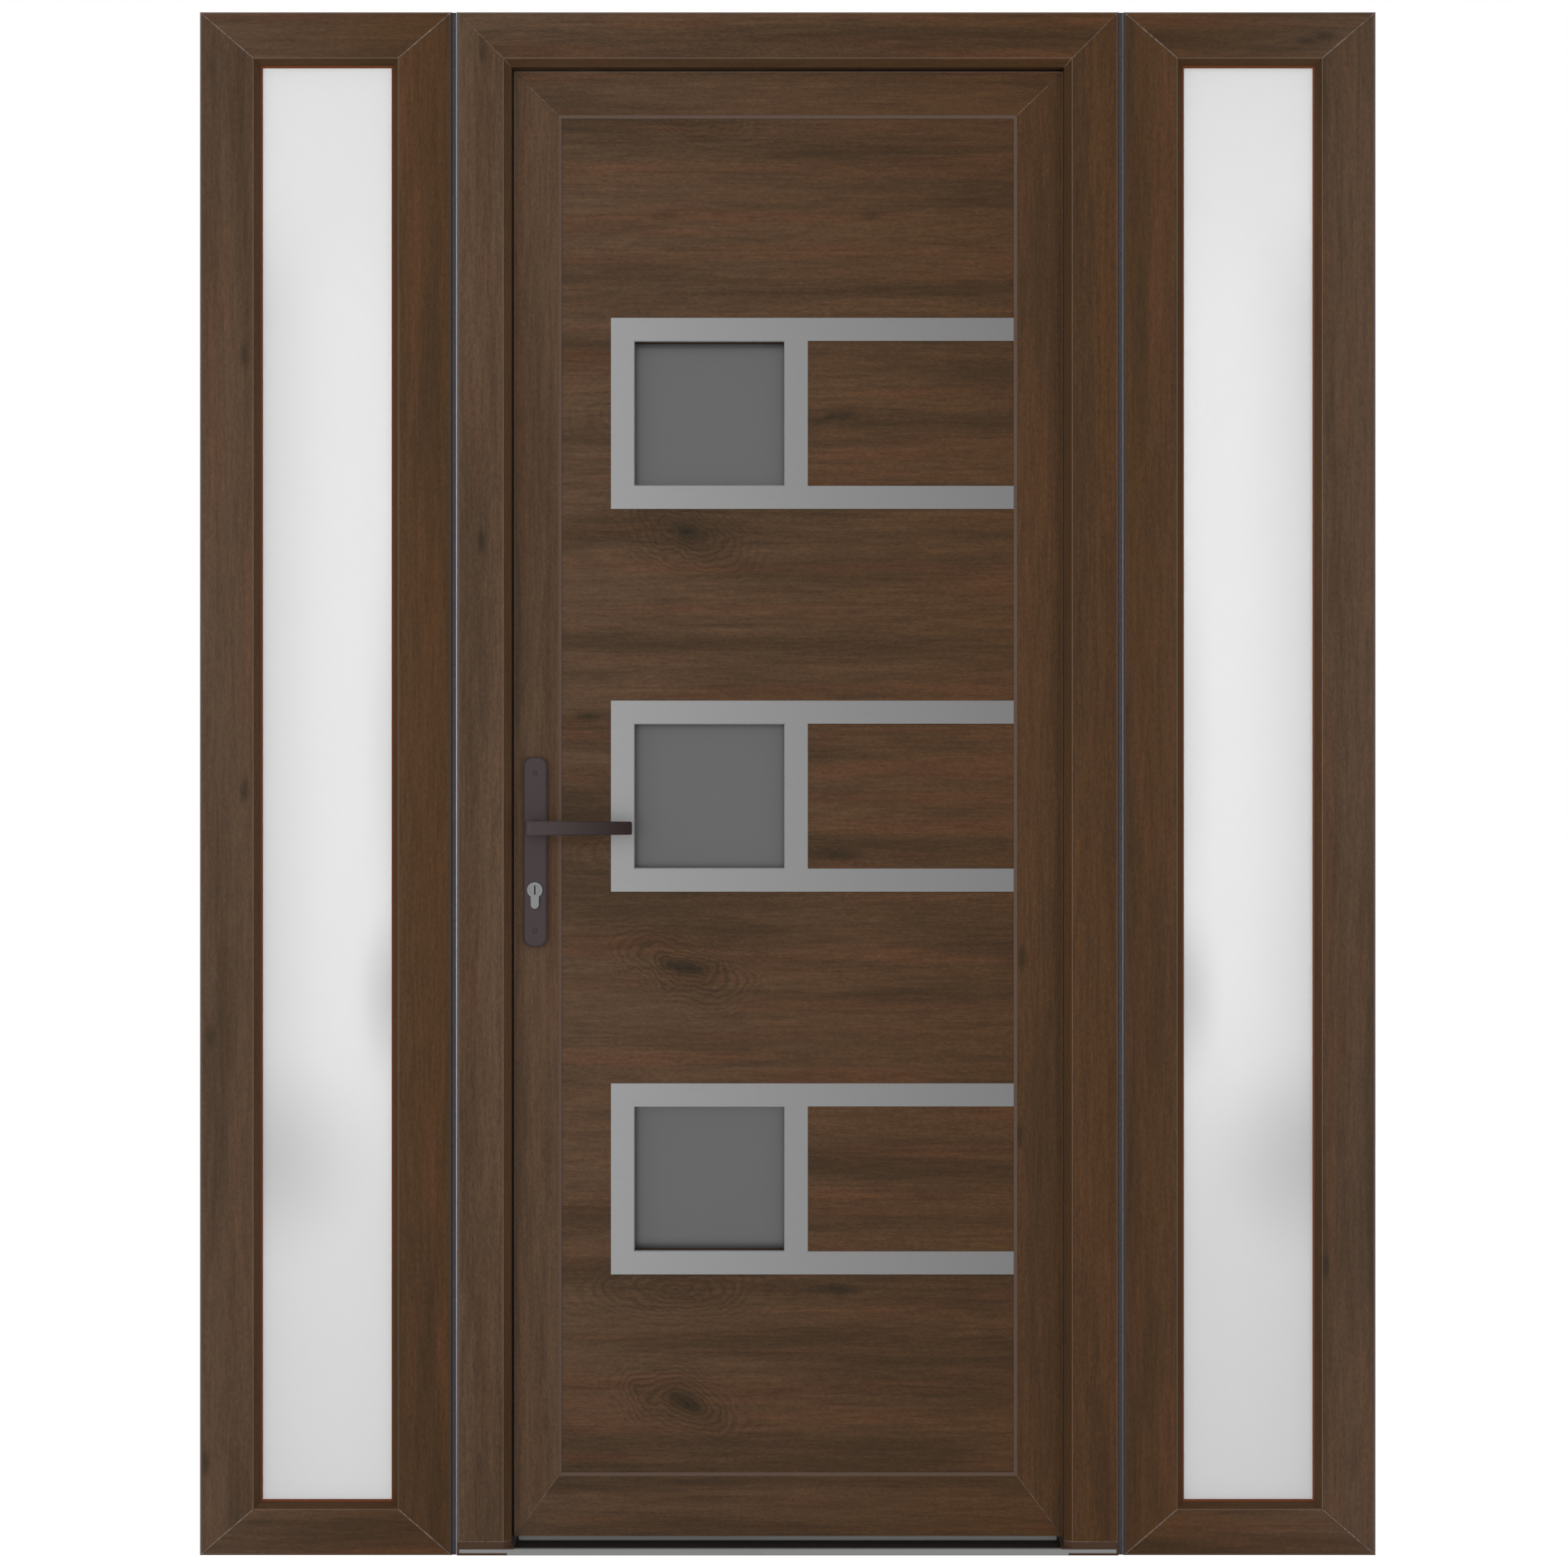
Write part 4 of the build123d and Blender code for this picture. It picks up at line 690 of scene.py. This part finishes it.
# Handle: long backplates and levers of die-cast zinc, powder coated dark bronze, alike on both
# faces. The coat is satin with a fine orange peel, and the levers are painted darker towards
# their tips, as painted shade.
BRONZE, BRONZE_TIP_SHADE = "#433839", "#1E0A09"
ORANGE_PEEL_MM = 1.6
bronze, tree = finish("dark bronze powder coat on zinc")
place = add(tree, "TexCoord")
metres = add(tree, "SeparateXYZ", {0: place.outputs["Object"]})
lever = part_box("outer_lever")
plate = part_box("outer_backplate")
# Painted shade: the colour darkens along x from the backplate's edge to the levers' tips.
run = add(tree, "MapRange", {"Value": metres.outputs["X"], "From Min": plate[1].x,
                             "From Max": lever[1].x})
colour = add(tree, "Mix", {0: run.outputs[0], 6: linear(BRONZE), 7: linear(BRONZE_TIP_SHADE)},
             data_type="RGBA")
peel = add(tree, "TexNoise", {"Vector": place.outputs["Object"], "Scale": MM / ORANGE_PEEL_MM,
                              "Detail": 2.0})
light = add(tree, "MapRange", {"Value": peel.outputs["Fac"], "To Min": 0.92, "To Max": 1.08})
tint = add(tree, "VectorMath", {0: colour.outputs[2], "Scale": light.outputs[0]}, operation="SCALE")
bump = add(tree, "Bump", {"Height": peel.outputs["Fac"], "Strength": 0.2, "Distance": 0.0001})
skin = add(tree, "BsdfPrincipled", {"Base Color": tint.outputs[0], "Roughness": 0.42, "IOR": 1.5,
                                    "Specular IOR Level": 0.2, "Normal": bump.outputs[0]})
add(tree, "OutputMaterial", {"Surface": skin.outputs[0]})
dress(bronze, "outer_backplate", "inner_backplate", "outer_lever", "inner_lever")

# Screws: countersunk steel with a cross recess, enamelled bronze in the handle and the hinges,
# bright zinc in the lock. Their heads lie flush in what they hold.
ENAMEL = "#372C2D"
SCREW_RADIUS, LOCK_SCREW_RADIUS = 0.0036, 0.0028
SCREW_CROWN, RECESS_DEPTH = 0.00035, 0.0016
RECESS_ARM, RECESS_REACH = 0.00055, 0.0021
ARM_EDGE, REACH_FADE = 1.6, 4.0
SCREW_RINGS, SCREW_SECTORS = 15, 56
enamelled = plastic("bronze enamel on steel", ENAMEL, 0.4, 0.8, relief=0.3)


def screws(places, outward, radius=SCREW_RADIUS):
    """Screw heads at places, facing along outward, shape (screws, rings, sectors, 3).

    Over ring radius r and angle t the height is a low dome, crown times (1 - r^2), less the cross
    recess, whose depth fades with the distance to the nearer arm and to the arms' ends. A last
    ring drops into the part, so the head's rim is closed off."""
    ring = np.linspace(0.0, 1.0, SCREW_RINGS)[:, None]
    turn = np.linspace(0, 2 * np.pi, SCREW_SECTORS, endpoint=False)[None, :]
    u, v = radius * ring * np.cos(turn), radius * ring * np.sin(turn)
    scale = radius / SCREW_RADIUS
    arm = np.minimum(np.abs(u), np.abs(v)) / (RECESS_ARM * scale)
    reach = np.maximum(np.abs(u), np.abs(v)) / (RECESS_REACH * scale)
    cut = np.clip(ARM_EDGE - arm, 0, 1) * np.clip(REACH_FADE * (1 - reach), 0, 1)
    height = SCREW_CROWN * (1 - ring ** 2) - RECESS_DEPTH * scale * cut
    u, v, height = (np.vstack([grid, grid[-1:]]) for grid in (u, v, height))
    height[-1] -= 2 * SCREW_CROWN
    out = np.array(outward, dtype=float)
    first = np.cross(out, (0.0, 0.0, 1.0) if abs(out[2]) < 0.5 else (0.0, 1.0, 0.0))
    second = np.cross(out, first)
    head = u[..., None] * first + v[..., None] * second + height[..., None] * out
    return np.asarray(places, dtype=float)[:, None, None, :] + head[None]


PLATE_SCREW_REACH = 0.1075
handle_x = (plate[0].x + plate[1].x) / 2
plate_z = (plate[0].z + plate[1].z) / 2
plate_screw_z = (plate_z - PLATE_SCREW_REACH, plate_z + PLATE_SCREW_REACH)
inner_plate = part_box("inner_backplate")
plate_heads = np.concatenate([
    screws([(handle_x, plate[0].y, z) for z in plate_screw_z], (0, -1, 0)),
    screws([(handle_x, inner_plate[1].y, z) for z in plate_screw_z], (0, 1, 0))])
surface("backplate_screws", plate_heads, enamelled, "leaf")

# Lock: profile cylinder of brass, nickel plated and satin, with the round plug marked off by a
# fine gap and its keyway in the dark, and faceplate and strike plates of steel with their screws.
NICKEL, GAP_DARK = "#858686", "#201E1C"
PLUG_RADIUS, PLUG_GAP = 0.0066, 0.0001
KEYWAY_HALF, KEYWAY_REACH, KEYWAY_SUNK = 0.00105, 0.00605, 0.0004
CYLINDER_HALF = 0.0105
PLUG_SECTORS, PLUG_SIDES, OVAL_POWER = 64, 8, 0.35
nickel, tree = finish("brass, nickel plated and satin")
place = add(tree, "TexCoord")
grain = add(tree, "TexNoise", {"Vector": place.outputs["Object"], "Scale": 900.0, "Detail": 3.0})
light = add(tree, "MapRange", {"Value": grain.outputs["Fac"], "To Min": 0.94, "To Max": 1.06})
tint = add(tree, "VectorMath", {0: linear(NICKEL)[:3], "Scale": light.outputs[0]}, operation="SCALE")
rough = add(tree, "MapRange", {"Value": grain.outputs["Fac"], "To Min": 0.26, "To Max": 0.40})
skin = add(tree, "BsdfPrincipled", {"Base Color": tint.outputs[0], "Roughness": rough.outputs[0],
                                    "Metallic": 1.0})
add(tree, "OutputMaterial", {"Surface": skin.outputs[0]})
dress(nickel, "lock_cylinder", "spindle")
zinc = nickel.copy()
zinc.name = "steel, bright zinc plated"
dress(zinc, "lock_faceplate", "strike_plates")

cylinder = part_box("lock_cylinder")
plug_z = cylinder[1].z - CYLINDER_HALF
turn = np.linspace(0, 2 * np.pi, PLUG_SECTORS, endpoint=False)[None, :, None]
bend = np.linspace(0, 2 * np.pi, PLUG_SIDES, endpoint=False)[:, None, None]
radial = np.concatenate([np.cos(turn), np.zeros_like(turn), np.sin(turn)], axis=-1)
plug_rings = []
for face_y in (cylinder[0].y, cylinder[1].y):
    # A ring about the plug: its centre line is a circle, its section a small circle round it.
    ring = (PLUG_RADIUS + PLUG_GAP * np.cos(bend)) * radial
    ring = ring + PLUG_GAP * np.sin(bend) * np.array([0.0, 1.0, 0.0])
    plug_rings.append(ring + np.array([handle_x, face_y, plug_z]))
grease_and_shadow = plastic("graphite grease", GAP_DARK, 0.5, 0.6)
surface("plug_gaps", np.stack(plug_rings), grease_and_shadow, "leaf", wrap_rows=True)

# Each keyway is closed a little below the face by a thin dark plate, a painted shadow in the
# keyway, shaped as a squared-off oval: its rim runs as the cosine and sine of the turn, each drawn
# towards 1 by a power below 1.
drawn_cos = np.sign(np.cos(turn)) * np.abs(np.cos(turn)) ** OVAL_POWER
drawn_sin = np.sign(np.sin(turn)) * np.abs(np.sin(turn)) ** OVAL_POWER
rim = np.concatenate([KEYWAY_HALF * drawn_cos, 0 * turn, KEYWAY_REACH * drawn_sin], axis=-1)
steps = np.array([0.0, 1.0, 1.0, 0.0])[:, None, None] * rim
depth = np.array([1.0, 1.0, 2.0, 2.0])[:, None, None] * np.array([0.0, KEYWAY_SUNK, 0.0])
# Painted shadow: a dark plate sunk in each keyway.
keyway_shadows = [steps + way * depth + np.array([handle_x, face_y, plug_z])
           for face_y, way in ((cylinder[0].y, 1), (cylinder[1].y, -1))]
surface("keyway_shadows", np.stack(keyway_shadows), grease_and_shadow, "leaf")

FACEPLATE_SCREW_HEIGHTS = (0.19, 0.52, 0.86, 1.10, 1.44, 1.87)
LEAF_FLANGE = 0.020
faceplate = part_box("lock_faceplate")
groove_y = (faceplate[0].y + faceplate[1].y) / 2
edge_x = LEAF_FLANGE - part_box("hinge_stile")[1].x
surface("faceplate_screws",
        screws([(edge_x, groove_y, z) for z in FACEPLATE_SCREW_HEIGHTS],
               (-1, 0, 0), LOCK_SCREW_RADIUS), zinc, "leaf")
STRIKES = ((0.400, 0.048), (0.970, 0.093), (1.650, 0.048))
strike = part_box("strike_plates")
surface("strike_screws",
        screws([(strike[1].x, groove_y, z + way * half) for z, half in STRIKES for way in (-1, 1)],
               (1, 0, 0), LOCK_SCREW_RADIUS), zinc, "frame")

# Hinges: three of cast zinc, powder coated like the handle, each a two-knuckle frame part with
# its pin and a leaf part with the middle knuckle, held by enamelled screws.
HINGE_HEIGHTS = (0.250, 1.030, 1.810)
HINGE_SCREW_REACH, LEAF_SCREW_REACH = 0.042, 0.012
FRAME_SCREW_X, LEAF_SCREW_X = 0.437, 0.366
HINGE_PLATE = 0.004
dress(plastic("dark bronze powder coat on hinges", BRONZE, 0.45, ORANGE_PEEL_MM, relief=0.2),
      "hinge_frame_parts", "hinge_leaf_parts")
frame_plate_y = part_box("left_jamb")[1].y + HINGE_PLATE
leaf_plate_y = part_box("hinge_stile")[1].y + HINGE_PLATE
surface("hinge_frame_screws",
        screws([(FRAME_SCREW_X, frame_plate_y, z + way * HINGE_SCREW_REACH)
                for z in HINGE_HEIGHTS for way in (-1, 0, 1)], (0, 1, 0)), enamelled, "frame")
surface("hinge_leaf_screws",
        screws([(LEAF_SCREW_X, leaf_plate_y, z + way * LEAF_SCREW_REACH)
                for z in HINGE_HEIGHTS for way in (-1, 1)], (0, 1, 0)), enamelled, "leaf")
